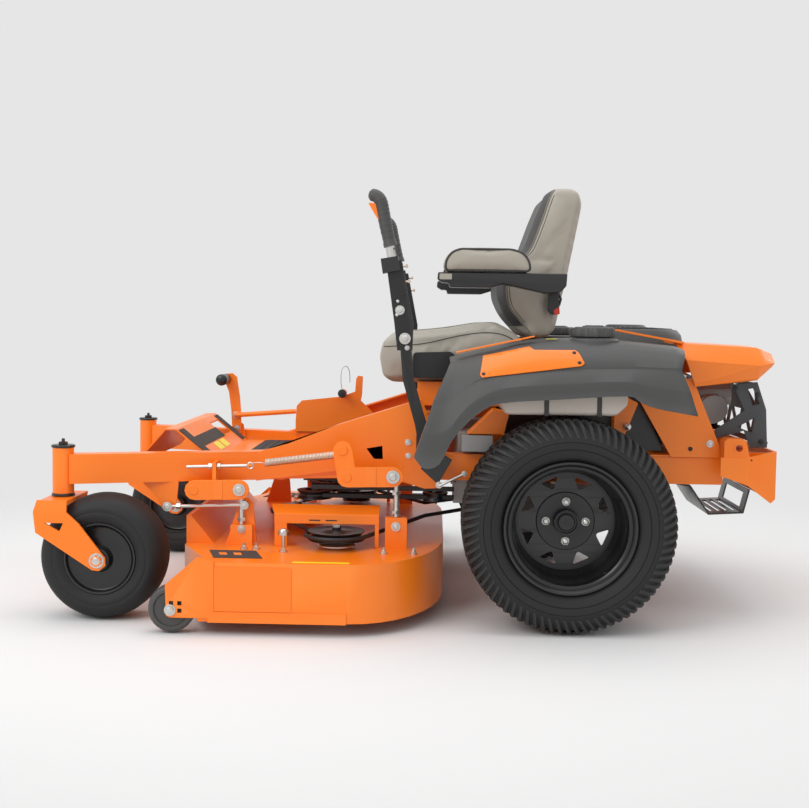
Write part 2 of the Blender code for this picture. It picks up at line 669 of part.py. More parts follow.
# ---- Seat -------------------------------------------------------------------
def build_seat():
    x, z = SEAT_TILT_PIVOT
    tilt = make_empty("seat_tilt_axis", (x, 0, z), ROOT)
    base = box((-0.045, -0.215, 0.5600), (0.300, 0.215, 0.6290))
    base = cut(base, box((-0.030, -0.200, 0.5500), (0.285, 0.200, 0.6200)))
    hinge = cylinder((x, -0.205, z), (x, 0.205, z), 0.0100, 12)
    node("seat_base", unite(base, hinge), "orange", tilt)

    slide = make_empty("seat_slide_axis", (0.05 - x, 0, 0.632 - z), tilt)
    cushion = [(-0.155, 0.634), (-0.158, 0.716), (-0.145, 0.748), (-0.110, 0.760), (-0.040, 0.764),
               (0.050, 0.776), (0.128, 0.790), (0.190, 0.790), (0.235, 0.772), (0.262, 0.748),
               (0.275, 0.700), (0.275, 0.6345)]
    node("seat_cushion", plate(cushion, -0.250, 0.250, "Y"), "vinyl", slide)
    back = [(0.278, 0.757), (0.236, 0.7945), (0.200, 0.830), (0.178, 0.870), (0.176, 0.905),
            (0.200, 0.960), (0.258, 1.013), (0.290, 1.100), (0.318, 1.168), (0.338, 1.188),
            (0.378, 1.191), (0.406, 1.182), (0.412, 1.160), (0.390, 1.040), (0.372, 0.940),
            (0.352, 0.850), (0.326, 0.757)]
    node("seat_back", plate(back, -0.225, 0.225, "Y"), "vinyl", slide)
    for label, side in SIDES.items():
        build_armrest(label, side, slide)


def build_armrest(label, side, slide):
    x, z = ARMREST_PIVOT
    joint = make_empty(f"{label}_armrest_axis", (x - 0.05, side * 0.27, z - 0.632), slide)
    outline = [(0.360, 0.934), (0.008, 0.934), (0.006, 0.915), (0.020, 0.906), (0.038, 0.905),
               (0.040, 0.893), (0.150, 0.893), (0.185, 0.904), (0.300, 0.880), (0.340, 0.882),
               (0.358, 0.900)]
    frame = side_plate(side, outline, (0.292, 0.350))
    hub = cylinder((x, side * 0.2260, z), (x, side * 0.295, z), 0.018, 20)
    node(f"{label}_armrest_frame", unite(frame, hub), "black_steel", joint)
    pad = [(0.014, 0.9352), (0.018, 0.968), (0.034, 0.992), (0.060, 1.004), (0.215, 1.004),
           (0.248, 0.992), (0.268, 0.968), (0.272, 0.9352)]
    node(f"{label}_armrest_pad", side_plate(side, pad, (0.285, 0.360)), "vinyl", joint)


# ---- Lap bars ---------------------------------------------------------------
def build_lap_bar(label, side):
    x, z = LEVER_PIVOT
    fore_aft = make_empty(f"{label}_lever_axis", (x, side * 0.37, z), ROOT)
    hub = cylinder((x, side * 0.3425, z), (x, side * 0.388, z), 0.020, 20)
    block = side_box(side, (x - 0.024, x + 0.020), (0.372, 0.388), (z - 0.012, 0.490))
    node(f"{label}_lever_pivot", unite(hub, block), "black_steel", fore_aft)

    swing_y, swing_z = LEVER_SWING
    swing = make_empty(f"{label}_lever_swing_axis", (0, side * (swing_y - 0.37), swing_z - z), fore_aft)
    bar = [(-0.036, 0.456), (-0.002, 0.456), (-0.015, 0.520), (-0.052, 0.641), (-0.062, 0.745),
           (-0.092, 0.745), (-0.083, 0.641), (-0.048, 0.520)]
    lower = side_plate(side, bar, (0.4005, 0.4085))
    bracket = [(-0.099, 0.720), (-0.058, 0.720), (-0.056, 0.790), (-0.090, 0.962), (-0.132, 0.955),
               (-0.108, 0.795)]
    upper = side_plate(side, bracket, (0.386, 0.4010))
    clamp = [(-0.140, 0.925), (-0.092, 0.935), (-0.100, 0.972), (-0.146, 0.964)]
    collar = side_plate(side, clamp, (0.380, 0.420))
    stem = cylinder((-0.112, side * 0.395, 0.940), (-0.1205, side * 0.395, 0.9935), 0.0125, 14)
    bolt = cylinder((-0.078, side * 0.380, 0.751), (-0.078, side * 0.418, 0.751), 0.013, 6)
    node(f"{label}_lever_arm", unite(lower, upper, collar, stem, bolt), "black_steel", swing)
    line = [(-0.1212, side * 0.395, 0.999), (-0.140, side * 0.395, 1.085),
            (-0.148, side * 0.395, 1.118), (-0.158, side * 0.395, 1.128),
            (-0.176, side * 0.391, 1.132)]
    node(f"{label}_lever_grip", tube(line, 0.0175, resolution=2), "dark_plastic", swing)


# ---- Deck lift --------------------------------------------------------------
def build_lift_arms():
    x, z = FRONT_ARM_PIVOT
    front = make_empty("front_lift_axis", (x, 0, z), ROOT)
    arms = cylinder((x, -0.436, z), (x, 0.436, z), 0.011, 16)
    for side in SIDES.values():
        arms = unite(arms, side_plate(side, capsule(FRONT_ARM_PIVOT, FRONT_ARM_END, 0.027), ARM_PLATE_Y))
    node("front_lift_arms", arms, "orange", front)

    x, z = REAR_ARM_PIVOT
    rear = make_empty("rear_lift_axis", (x, 0, z), ROOT)
    arms = cylinder((x, -0.436, z), (x, 0.436, z), 0.011, 16)
    ear = (-0.240, 0.450)
    for side in SIDES.values():
        bar = side_plate(side, capsule(REAR_ARM_PIVOT, REAR_ARM_END, 0.027), ARM_PLATE_Y)
        lug = side_plate(side, capsule(REAR_ARM_PIVOT, ear, 0.026), (ARM_PLATE_Y[0] + 0.0004, 0.4395))
        arms = unite(arms, bar, lug)
    node("rear_lift_arms", arms, "orange", rear)

    spring = cylinder((-0.451, -HANGER_Y, 0.411), (-0.262, -HANGER_Y, 0.436), 0.0105, 16)
    node("lift_spring", spring, "spring_steel")


def build_pedal():
    pivot = (-0.649, 0.439)
    joint = make_empty("lift_pedal_axis", (pivot[0], 0.316, pivot[1]), ROOT)
    outline = [(-0.664, 0.425), (-0.634, 0.425), (-0.636, 0.500), (-0.640, 0.545), (-0.650, 0.610),
               (-0.664, 0.622), (-0.690, 0.620), (-0.694, 0.606), (-0.676, 0.560), (-0.668, 0.500)]
    arm = side_plate(1, outline, (0.3125, 0.3205))
    peg = cylinder((-0.686, 0.228, 0.603), (-0.686, 0.314, 0.603), 0.016, 16)
    pin = cylinder((pivot[0], 0.318, pivot[1]), (pivot[0], 0.3265, pivot[1]), 0.009, 12)
    node("lift_pedal", unite(arm, peg, pin), "orange", joint)
    rod = cylinder((-0.655, 0.3035, 0.484), (-0.452, 0.3035, 0.500), 0.0080, 12)
    node("lift_link", rod, "orange")


def build_height_plate():
    outline = [(-0.449, 0.4365), (-0.449, 0.470), (-0.446, 0.520), (-0.429, 0.538), (-0.300, 0.553),
               (-0.255, 0.570), (-0.252, 0.612), (-0.246, 0.622), (-0.230, 0.620), (-0.232, 0.560),
               (-0.236, 0.541), (-0.195, 0.502), (-0.195, 0.4365)]
    plate_body = side_plate(1, outline, (0.2700, 0.2760))
    foot = box((-0.4485, 0.2705, 0.4366), (-0.1955, 0.298, 0.4425))
    quadrant = cylinder((-0.293, 0.250, 0.566), (-0.293, 0.2755, 0.566), 0.012, 12)
    hole = cylinder((-0.293, 0.23, 0.566), (-0.293, 0.30, 0.566), 0.0054, 12)
    node("height_plate", cut(unite(plate_body, foot, quadrant), hole), "orange")
    joint = make_empty("height_pin_axis", (-0.293, 0.25, 0.566), ROOT)
    pin = cylinder((-0.293, 0.236, 0.566), (-0.293, 0.292, 0.566), 0.0050, 12)
    knob = cylinder((-0.293, 0.208, 0.566), (-0.293, 0.240, 0.566), 0.014, 14, 0.009)
    node("height_pin", unite(pin, knob), "black_steel", joint)


def build_drag_link(label, side):
    start, end = (-0.714, 0.289), (-0.505, 0.296)
    joint = make_empty(f"{label}_drag_axis", (start[0], side * 0.42, start[1]), ROOT)
    rod = cylinder((start[0], side * 0.4258, start[1]), (end[0], side * 0.4258, end[1]), 0.0048, 10)
    eyes = [cylinder((p[0], side * 0.4210, p[1]), (p[0], side * 0.4305, p[1]), 0.012, 12)
            for p in (start, end)]
    node(f"{label}_drag_link", unite(rod, *eyes), "zinc", joint)


# ---- Mower deck -------------------------------------------------------------
def deck_outline(inset):
    """The deck's plan, stepped in by an even wall thickness."""
    half = DECK_HALF_WIDTH - inset
    front = DECK_FRONT_X + inset
    rear = DECK_REAR_X - inset
    curve_x, flat_y = -0.208, 0.25
    corner = -0.587 + inset
    left = [(front, -0.42), (corner, -0.590 + inset), (corner, -half)]
    steps = 9
    for i in range(steps + 1):
        a = math.radians(-90 + 90 * i / steps)
        left.append((curve_x + (rear - curve_x) * math.cos(a), -flat_y + (half - flat_y) * math.sin(a)))
    return left + [(x, -y) for x, y in reversed(left)]


def deck_nose(inset):
    """The raised front edge, in side view."""
    x = DECK_FRONT_X + inset
    top = 0.262 - inset * 1.4
    return [(x, 0.10), (x, top), (x + 0.012, top), (-0.590 - inset, 0.182 - inset), (-0.590 - inset, 0.10)]


def deck_brackets(side):
    """Upright plates on the deck that the hanger rods and drag links hold."""
    front = side_box(side, (-0.543, -0.484), (0.404, 0.428), (DECK_TOP - 0.003, 0.242))
    rear = side_box(side, (-0.124, -0.065), (0.404, 0.428), (DECK_TOP - 0.003, 0.269))
    ear = side_plate(side, [(-0.560, 0.184), (-0.475, 0.184), (-0.485, 0.300), (-0.500, 0.314),
                            (-0.520, 0.310)], (0.396, 0.4045))
    rods = [cylinder((x, side * 0.4135, 0.200), (x, side * 0.4135, top), 0.0068, 10)
            for x, top in ((-0.515, 0.340), (-0.095, 0.383))]
    return [front, rear, ear, *rods]


def scalp_bracket(side):
    outline = [(-0.545, 0.188), (-0.588, 0.198), (-0.668, 0.126), (-0.665, 0.048), (-0.655, 0.043),
               (-0.545, 0.043)]
    holes = [square_hole(x, z) for x, z in ((-0.652, 0.080), (-0.631, 0.080), (-0.631, 0.061))]
    outer = side_plate(side, outline, (0.658, 0.664), holes)
    inner = side_plate(side, [(-0.585, 0.170), (-0.668, 0.110), (-0.665, 0.048), (-0.585, 0.043)],
                       (0.600, 0.605))
    x, z = ROLLER_AXLE
    axle = cylinder((x, side * 0.602, z), (x, side * 0.661, z), 0.0075, 10)
    return [outer, inner, axle]


def square_hole(x, z, half=0.0055):
    return [(x - half, z - half), (x + half, z - half), (x + half, z + half), (x - half, z + half)]


def build_deck(lift):
    shell_body = plate(deck_outline(0.0), DECK_BOTTOM, DECK_TOP, "Z")
    nose = plate(deck_nose(0.0), -0.400, 0.400, "Y")
    body = unite(shell_body, nose)
    inside = plate(deck_outline(DECK_WALL), 0.0, DECK_TOP - DECK_WALL, "Z")
    inside_nose = plate(deck_nose(DECK_WALL), -0.395, 0.395, "Y")
    body = cut(body, unite(inside, inside_nose))
    mouth = box((-0.395, 0.595, 0.00), (-0.105, 0.70, 0.168))
    bores = [cylinder((x, y, 0.15), (x, y, 0.20), 0.024, 16) for x, y in spindle_places()]
    body = cut(body, mouth, *bores)
    for side in SIDES.values():
        body = unite(body, *deck_brackets(side))
        body = unite(body, *scalp_bracket(side))
        band = [(-0.560, side * 0.6585), (-0.210, side * 0.6585), (-0.210, side * 0.6640),
                (-0.560, side * 0.6640)]
        if side == SIDES["left"]:
            body = unite(body, plate(band, 0.0320, 0.0600, "Z"))
    for x in (-0.380, -0.220):
        body = unite(body, box((x, 0.657, 0.169), (x + 0.020, 0.6672, 0.182)))
    node("deck_shell", body, "orange", lift)


def spindle_places():
    return [(SPINDLE_X, -SPINDLE_Y), (CENTER_SPINDLE_X, 0.0), (SPINDLE_X, SPINDLE_Y)]


def build_spindles(lift):
    for label, (x, y) in zip(("left", "center", "right"), spindle_places()):
        joint = make_empty(f"{label}_spindle_axis", (x, y, BELT_Z), lift)
        profile = [(0.0, 0.240), (0.012, 0.240), (0.012, 0.232), (PULLEY_R, 0.231), (0.068, BELT_Z),
                   (PULLEY_R, 0.207), (0.048, 0.203), (0.048, 0.192), (0.0215, 0.190),
                   (0.0215, 0.080), (0.030, 0.076), (0.030, 0.066), (0.0, 0.066)]
        rotor = lathe(profile, (x, y, 0), "Z", 16, closed=False)
        blade = box((x - 0.028, y - BLADE_LENGTH / 2, 0.062), (x + 0.028, y + BLADE_LENGTH / 2, 0.068))
        bolt = cylinder((x, y, 0.050), (x, y, 0.064), 0.014, 6)
        node(f"{label}_spindle", unite(rotor, blade, bolt), "zinc", joint)


def build_belt(lift):
    """One closed loop round the three deck pulleys and the engine's pulley."""
    run = PULLEY_R + 0.0065
    z, far = BELT_Z, CLUTCH.z
    clutch_r = 0.062 + 0.0065
    path = [(x, y, z) for x, y in arc((SPINDLE_X, -SPINDLE_Y), run, 330, 150, 9)]
    path += [(x, y, z) for x, y in arc((CENTER_SPINDLE_X, 0.0), run, 200, 160, 2)]
    path += [(x, y, z) for x, y in arc((SPINDLE_X, SPINDLE_Y), run, 210, 30, 9)]
    path += [(-0.02, 0.128, z + 0.010)]
    path += [(x, y, far) for x, y in arc((CLUTCH.x, CLUTCH.y), clutch_r, 80, -80, 8)]
    path += [(-0.02, -0.128, z + 0.010)]
    node("deck_belt", tube(path, 0.0058, cyclic=True, resolution=1), "rubber", lift)


def build_belt_cover(label, side, lift):
    """A folded cover over an outer pulley, open towards the outside."""
    top = side_plate(side, [(-0.452, 0.300), (-0.440, 0.3065), (-0.150, 0.3065), (-0.140, 0.300),
                            (-0.140, 0.297), (-0.452, 0.297)], (0.3485, 0.364))
    slope = shell([[(-0.425, side * 0.4205, 0.2740), (-0.140, side * 0.4205, 0.2740)],
                   [(-0.450, side * 0.3600, 0.3020), (-0.140, side * 0.3600, 0.3020)]], 0.004)
    front = side_box(side, (-0.4245, -0.1405), (0.4185, 0.4225), (0.2480, 0.2755))
    leg_front = side_box(side, (-0.4240, -0.390), (0.4180, 0.4220), (DECK_TOP + GAP, 0.2490))
    leg_rear = side_box(side, (-0.152, -0.1410), (0.4180, 0.4220), (DECK_TOP + GAP, 0.2490))
    slots = [side_box(side, (x, x + 0.026), (0.410, 0.430), (0.256, 0.259)) for x in (-0.305, -0.265)]
    cover = unite(top, slope, front, leg_front, leg_rear)
    node(f"{label}_belt_cover", cut(cover, *slots), "orange", lift)


def build_roller(label, side, lift):
    x, z = ROLLER_AXLE
    radius = 0.0600
    joint = make_empty(f"{label}_roller_axis", (x, side * 0.632, z), lift)
    profile = [(0.0080, 0.6075), (radius * 0.80, 0.6075), (radius, 0.618), (radius, 0.646),
               (radius * 0.80, 0.6565), (0.0080, 0.6565)]
    wheel = lathe([(r, side * a) for r, a in profile], (x, 0, z), "Y", 20)
    node(f"{label}_roller", wheel, "dark_plastic", joint)


def build_chute(lift):
    hinge = CHUTE_HINGE
    joint = make_empty("chute_axis", (-0.194, *hinge), lift)
    span = (-0.405, 0.017)
    row = [(0.672, 0.176), (0.690, 0.178), (0.780, 0.150), (0.868, 0.100), (0.884, 0.070)]
    rows = [[(x, y, z) for y, z in row] for x in span]
    top = shell(rows, 0.006)
    cheek = [(0.672, 0.174), (0.780, 0.149), (0.868, 0.099), (0.884, 0.070), (0.860, 0.060),
             (0.700, 0.060), (0.672, 0.080)]
    cheeks = [plate(cheek, x, x + 0.006, "X") for x in (span[0] - 0.003, span[1] - 0.003)]
    rod = cylinder((span[0], *hinge), (span[1], *hinge), 0.006, 10)
    node("discharge_chute", unite(top, *cheeks, rod), "dark_plastic", joint)


def build_pto_knob():
    x, y, z = 0.120, 0.430, 0.7224
    joint = make_empty("pto_knob_axis", (x, y, z), ROOT)
    profile = [(0.0, 0.030), (0.012, 0.030), (0.017, 0.024), (0.017, 0.018), (0.006, 0.012),
               (0.006, 0.0), (0.0, 0.0)]
    knob = lathe(profile, (x, y, z), "Z", 20, closed=False)
    node("pto_knob", knob, "red_knob", joint)


def build():
    for label, side in SIDES.items():
        build_frame_rail(label, side)
        build_fender(label, side)
        build_fuel_tank(label, side)
        build_fuel_cap(label, side)
        build_transaxle(label, side)
        build_rear_wheel(label, side)
        build_caster(label, side)
        build_lap_bar(label, side)
        build_drag_link(label, side)
    build_foot_platform()
    build_rear_frame()
    build_bumper()
    build_rear_guard()
    build_step_plate()
    build_cowl()
    build_engine()
    build_engine_shroud()
    build_clutch()
    build_seat()
    build_lift_arms()
    build_pedal()
    build_height_plate()
    build_pto_knob()
    lift = make_empty("deck_lift_axis", (-0.256, 0, DECK_TOP), ROOT)
    build_deck(lift)
    build_spindles(lift)
    build_belt(lift)
    build_chute(lift)
    for label, side in SIDES.items():
        build_belt_cover(label, side, lift)
        build_roller(label, side, lift)


clear_scene()
PART_COLLECTION = bpy.data.collections.new("zero_turn_mower")
bpy.context.scene.collection.children.link(PART_COLLECTION)
MATERIALS = {name: make_material(name) for name in PAINT}
ROOT = make_empty("mower_origin", ROOT_SHIFT, None)
build()
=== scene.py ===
"""Looks of the zero turn mower: finishes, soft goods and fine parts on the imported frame.

Metres, +Z up. Places are in the mower's own layout, whose Y = 0 is the centre
plane and whose front is at -X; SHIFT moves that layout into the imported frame.
"""
import json
import math

import bmesh
import bpy
from mathutils import Matrix, Vector
from mathutils.bvhtree import BVHTree


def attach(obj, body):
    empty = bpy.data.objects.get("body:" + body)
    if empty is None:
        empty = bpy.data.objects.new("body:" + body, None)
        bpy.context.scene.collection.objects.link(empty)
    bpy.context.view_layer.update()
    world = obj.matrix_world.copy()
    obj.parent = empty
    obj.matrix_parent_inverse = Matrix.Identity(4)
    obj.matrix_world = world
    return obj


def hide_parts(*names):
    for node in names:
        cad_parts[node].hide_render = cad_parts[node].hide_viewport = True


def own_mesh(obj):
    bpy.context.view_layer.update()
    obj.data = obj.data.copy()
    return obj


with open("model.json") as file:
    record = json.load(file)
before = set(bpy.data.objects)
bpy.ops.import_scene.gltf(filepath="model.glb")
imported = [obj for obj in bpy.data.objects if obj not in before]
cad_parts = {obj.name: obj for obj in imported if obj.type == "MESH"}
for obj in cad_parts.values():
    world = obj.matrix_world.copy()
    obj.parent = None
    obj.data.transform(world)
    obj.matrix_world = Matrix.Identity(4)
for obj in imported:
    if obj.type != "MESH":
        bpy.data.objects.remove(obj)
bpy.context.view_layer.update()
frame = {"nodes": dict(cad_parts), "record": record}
NODES = frame["nodes"]
BODY_OF = {node: body for body, nodes in frame["record"]["behaviour"]["bodies"].items() for node in nodes}
SHIFT = Vector((0.05, -0.1113, 0.0))
SIDES = {"left": -1, "right": 1}

REAR_AXLE = (0.355, 0.277)
REAR_TYRE_OUT = 0.62
CASTER_PIVOT = (-0.983, 0.475)
CASTER_AXLE = (-0.868, 0.165)
HANGER_Y = 0.42
HANGER_ROD_Y = 0.4135
ENGINE_X = 0.575


# ---- Finishes ---------------------------------------------------------------
def links(material, *pairs):
    for (a, a_out), (b, b_in) in pairs:
        material.node_tree.links.new(a.outputs[a_out], b.inputs[b_in])


def preset(node, inputs):
    """A shader node with the default values of its inputs set."""
    for name, value in inputs.items():
        node.inputs[name].default_value = value
    return node


def colour_mix(tree, inputs):
    mix = tree.nodes.new("ShaderNodeMix")
    mix.data_type = "RGBA"
    return preset(mix, inputs)


def add_relief(material, place, shader, pattern, grain, bump):
    """A fine grain that lifts the surface a little: cells for moulded skins, noise for the rest."""
    nodes = material.node_tree.nodes
    if pattern == "cells":
        fine = preset(nodes.new("ShaderNodeTexVoronoi"), {"Scale": grain})
        height = "Distance"
    else:
        fine = preset(nodes.new("ShaderNodeTexNoise"), {"Scale": grain, "Detail": 3.0})
        height = "Fac"
    relief = preset(nodes.new("ShaderNodeBump"), {"Strength": bump, "Distance": 0.002})
    links(material, ((place, "Object"), (fine, "Vector")), ((fine, height), (relief, "Height")),
            ((relief, "Normal"), (shader, "Normal")))


def add_wear(material, tint, colour, wear):
    """A lighter colour where the surface is sharply convex."""
    tree = material.node_tree
    shape = tree.nodes.new("ShaderNodeNewGeometry")
    edge = preset(tree.nodes.new("ShaderNodeMapRange"), {"From Min": 0.53, "From Max": 0.62,
            "To Max": wear})
    worn = colour_mix(tree, {"B": (*[min(1.0, c * 1.5 + 0.06) for c in colour], 1)})
    links(material, ((shape, "Pointiness"), (edge, "Value")), ((edge, "Result"), (worn, "Factor")),
            ((tint, "Result"), (worn, "A")))
    return worn


def surface(name, colour, rough, metallic=0.0, vary=0.06, grain=300.0, bump=0.05, wear=0.0, spread=0.08,
        coat=0.0, sheen=0.0, pattern="noise"):
    """A procedural finish: uneven colour and gloss, a fine grain and lighter worn edges."""
    material = bpy.data.materials.new(name)
    material.use_nodes = True
    tree = material.node_tree
    shader = tree.nodes["Principled BSDF"]
    preset(shader, {"Metallic": metallic, "Coat Weight": coat, "Coat Roughness": 0.25,
            "Sheen Weight": sheen})
    place = tree.nodes.new("ShaderNodeTexCoord")
    broad = preset(tree.nodes.new("ShaderNodeTexNoise"), {"Scale": 7.0, "Detail": 5.0})
    low = [max(0.0, c * (1 - vary)) for c in colour]
    high = [min(1.0, c * (1 + vary)) for c in colour]
    tint = colour_mix(tree, {"A": (*low, 1), "B": (*high, 1)})
    gloss = preset(tree.nodes.new("ShaderNodeMapRange"), {"To Min": max(0.02, rough - spread),
            "To Max": min(1.0, rough + spread)})
    links(material, ((place, "Object"), (broad, "Vector")), ((broad, "Fac"), (tint, "Factor")),
            ((broad, "Fac"), (gloss, "Value")), ((gloss, "Result"), (shader, "Roughness")))
    add_relief(material, place, shader, pattern, grain, bump)
    last = add_wear(material, tint, colour, wear) if wear else tint
    links(material, ((last, "Result"), (shader, "Base Color")))
    return material


ORANGE = surface("orange_coat", (1.0, 0.205, 0.003), 0.34, vary=0.045, grain=420, bump=0.04, wear=0.3,
        coat=0.1)
GREY_PLASTIC = surface("fender_plastic", (0.06, 0.06, 0.059), 0.5, grain=900, bump=0.16, wear=0.3,
        pattern="cells")
BLACK = surface("black_coat", (0.006, 0.006, 0.0065), 0.32, vary=0.2, grain=500, bump=0.06, wear=0.4,
        coat=0.15)
DARK_STEEL = surface("dark_grey_coat", (0.05, 0.054, 0.058), 0.42, vary=0.12, grain=500, bump=0.06,
        wear=0.4)
TYRE = surface("tyre_rubber", (0.0105, 0.0105, 0.011), 0.66, vary=0.35, grain=160, bump=0.12, wear=0.25)
HOSE = surface("hose_rubber", (0.012, 0.012, 0.012), 0.5, vary=0.3, grain=700, bump=0.2)
VINYL = surface("seat_vinyl", (0.375, 0.345, 0.29), 0.5, vary=0.05, grain=620, bump=0.22, sheen=0.08,
        pattern="cells")
DARK_VINYL = surface("dark_vinyl", (0.058, 0.056, 0.055), 0.55, vary=0.12, grain=620, bump=0.25,
        sheen=0.05, pattern="cells")
PIPING = surface("seam_piping", (0.035, 0.034, 0.033), 0.55, vary=0.2, grain=900, bump=0.15)
STITCH = surface("stitching", (0.2, 0.185, 0.155), 0.7, vary=0.15, grain=1500, bump=0.3)
ZINC = surface("zinc_plate", (0.66, 0.65, 0.62), 0.3, metallic=1.0, vary=0.12, grain=260, bump=0.05)
COPPERY = surface("spring_wire", (0.7, 0.56, 0.46), 0.34, metallic=0.85, vary=0.15, grain=600, bump=0.06)
CAST = surface("cast_aluminium", (0.42, 0.42, 0.41), 0.5, metallic=0.75, vary=0.15, grain=380, bump=0.3)
TANK = surface("tank_plastic", (0.56, 0.5, 0.44), 0.45, vary=0.06, grain=300, bump=0.08)
GRIP = surface("grip_tape", (0.06, 0.05, 0.045), 0.85, vary=0.35, grain=900, bump=0.6)
YELLOW = surface("yellow_film", (0.9, 0.78, 0.02), 0.35, vary=0.04, grain=300, bump=0.02)
RED = surface("red_plastic", (0.7, 0.045, 0.02), 0.35, vary=0.06, grain=300, bump=0.04)
STEEL = surface("bare_steel", (0.5, 0.5, 0.5), 0.33, metallic=1.0, vary=0.18, grain=220, bump=0.08)

NODE_FINISH = {
    "orange_coat": ORANGE, "dark_plastic": GREY_PLASTIC, "black_steel": BLACK, "grey_steel": DARK_STEEL,
    "tank_plastic": TANK, "aluminium": CAST, "tyre_rubber": TYRE, "belt_rubber": HOSE, "vinyl": VINYL,
    "zinc": ZINC, "spring_steel": COPPERY, "red_plastic": RED,
}
SLOT_OF = {entry["node"]: entry["material_slot"] for entry in frame["record"]["subparts"]}


# ---- Building blocks --------------------------------------------------------
def ring_frame(direction):
    """Two unit vectors square to a direction."""
    helper = Vector((0, 0, 1)) if abs(direction.z) < 0.9 else Vector((1, 0, 0))
    first = direction.cross(helper).normalized()
    return first, direction.cross(first).normalized()


def around(count):
    """Evenly spaced angles round a full turn."""
    return [2 * math.pi * i / count for i in range(count)]


def span(side, near, far):
    """Two distances from the centre plane as a rising pair of Y on one side."""
    return sorted((side * near, side * far))


def skin_tree(mesh):
    return BVHTree.FromPolygons([v.co for v in mesh.vertices], [f.vertices for f in mesh.polygons])


PLANES = {
    "Y": lambda u, v, w: Vector((u, w, v)),
    "Z": lambda u, v, w: Vector((u, v, w)),
    "X": lambda u, v, w: Vector((w, u, v)),
}


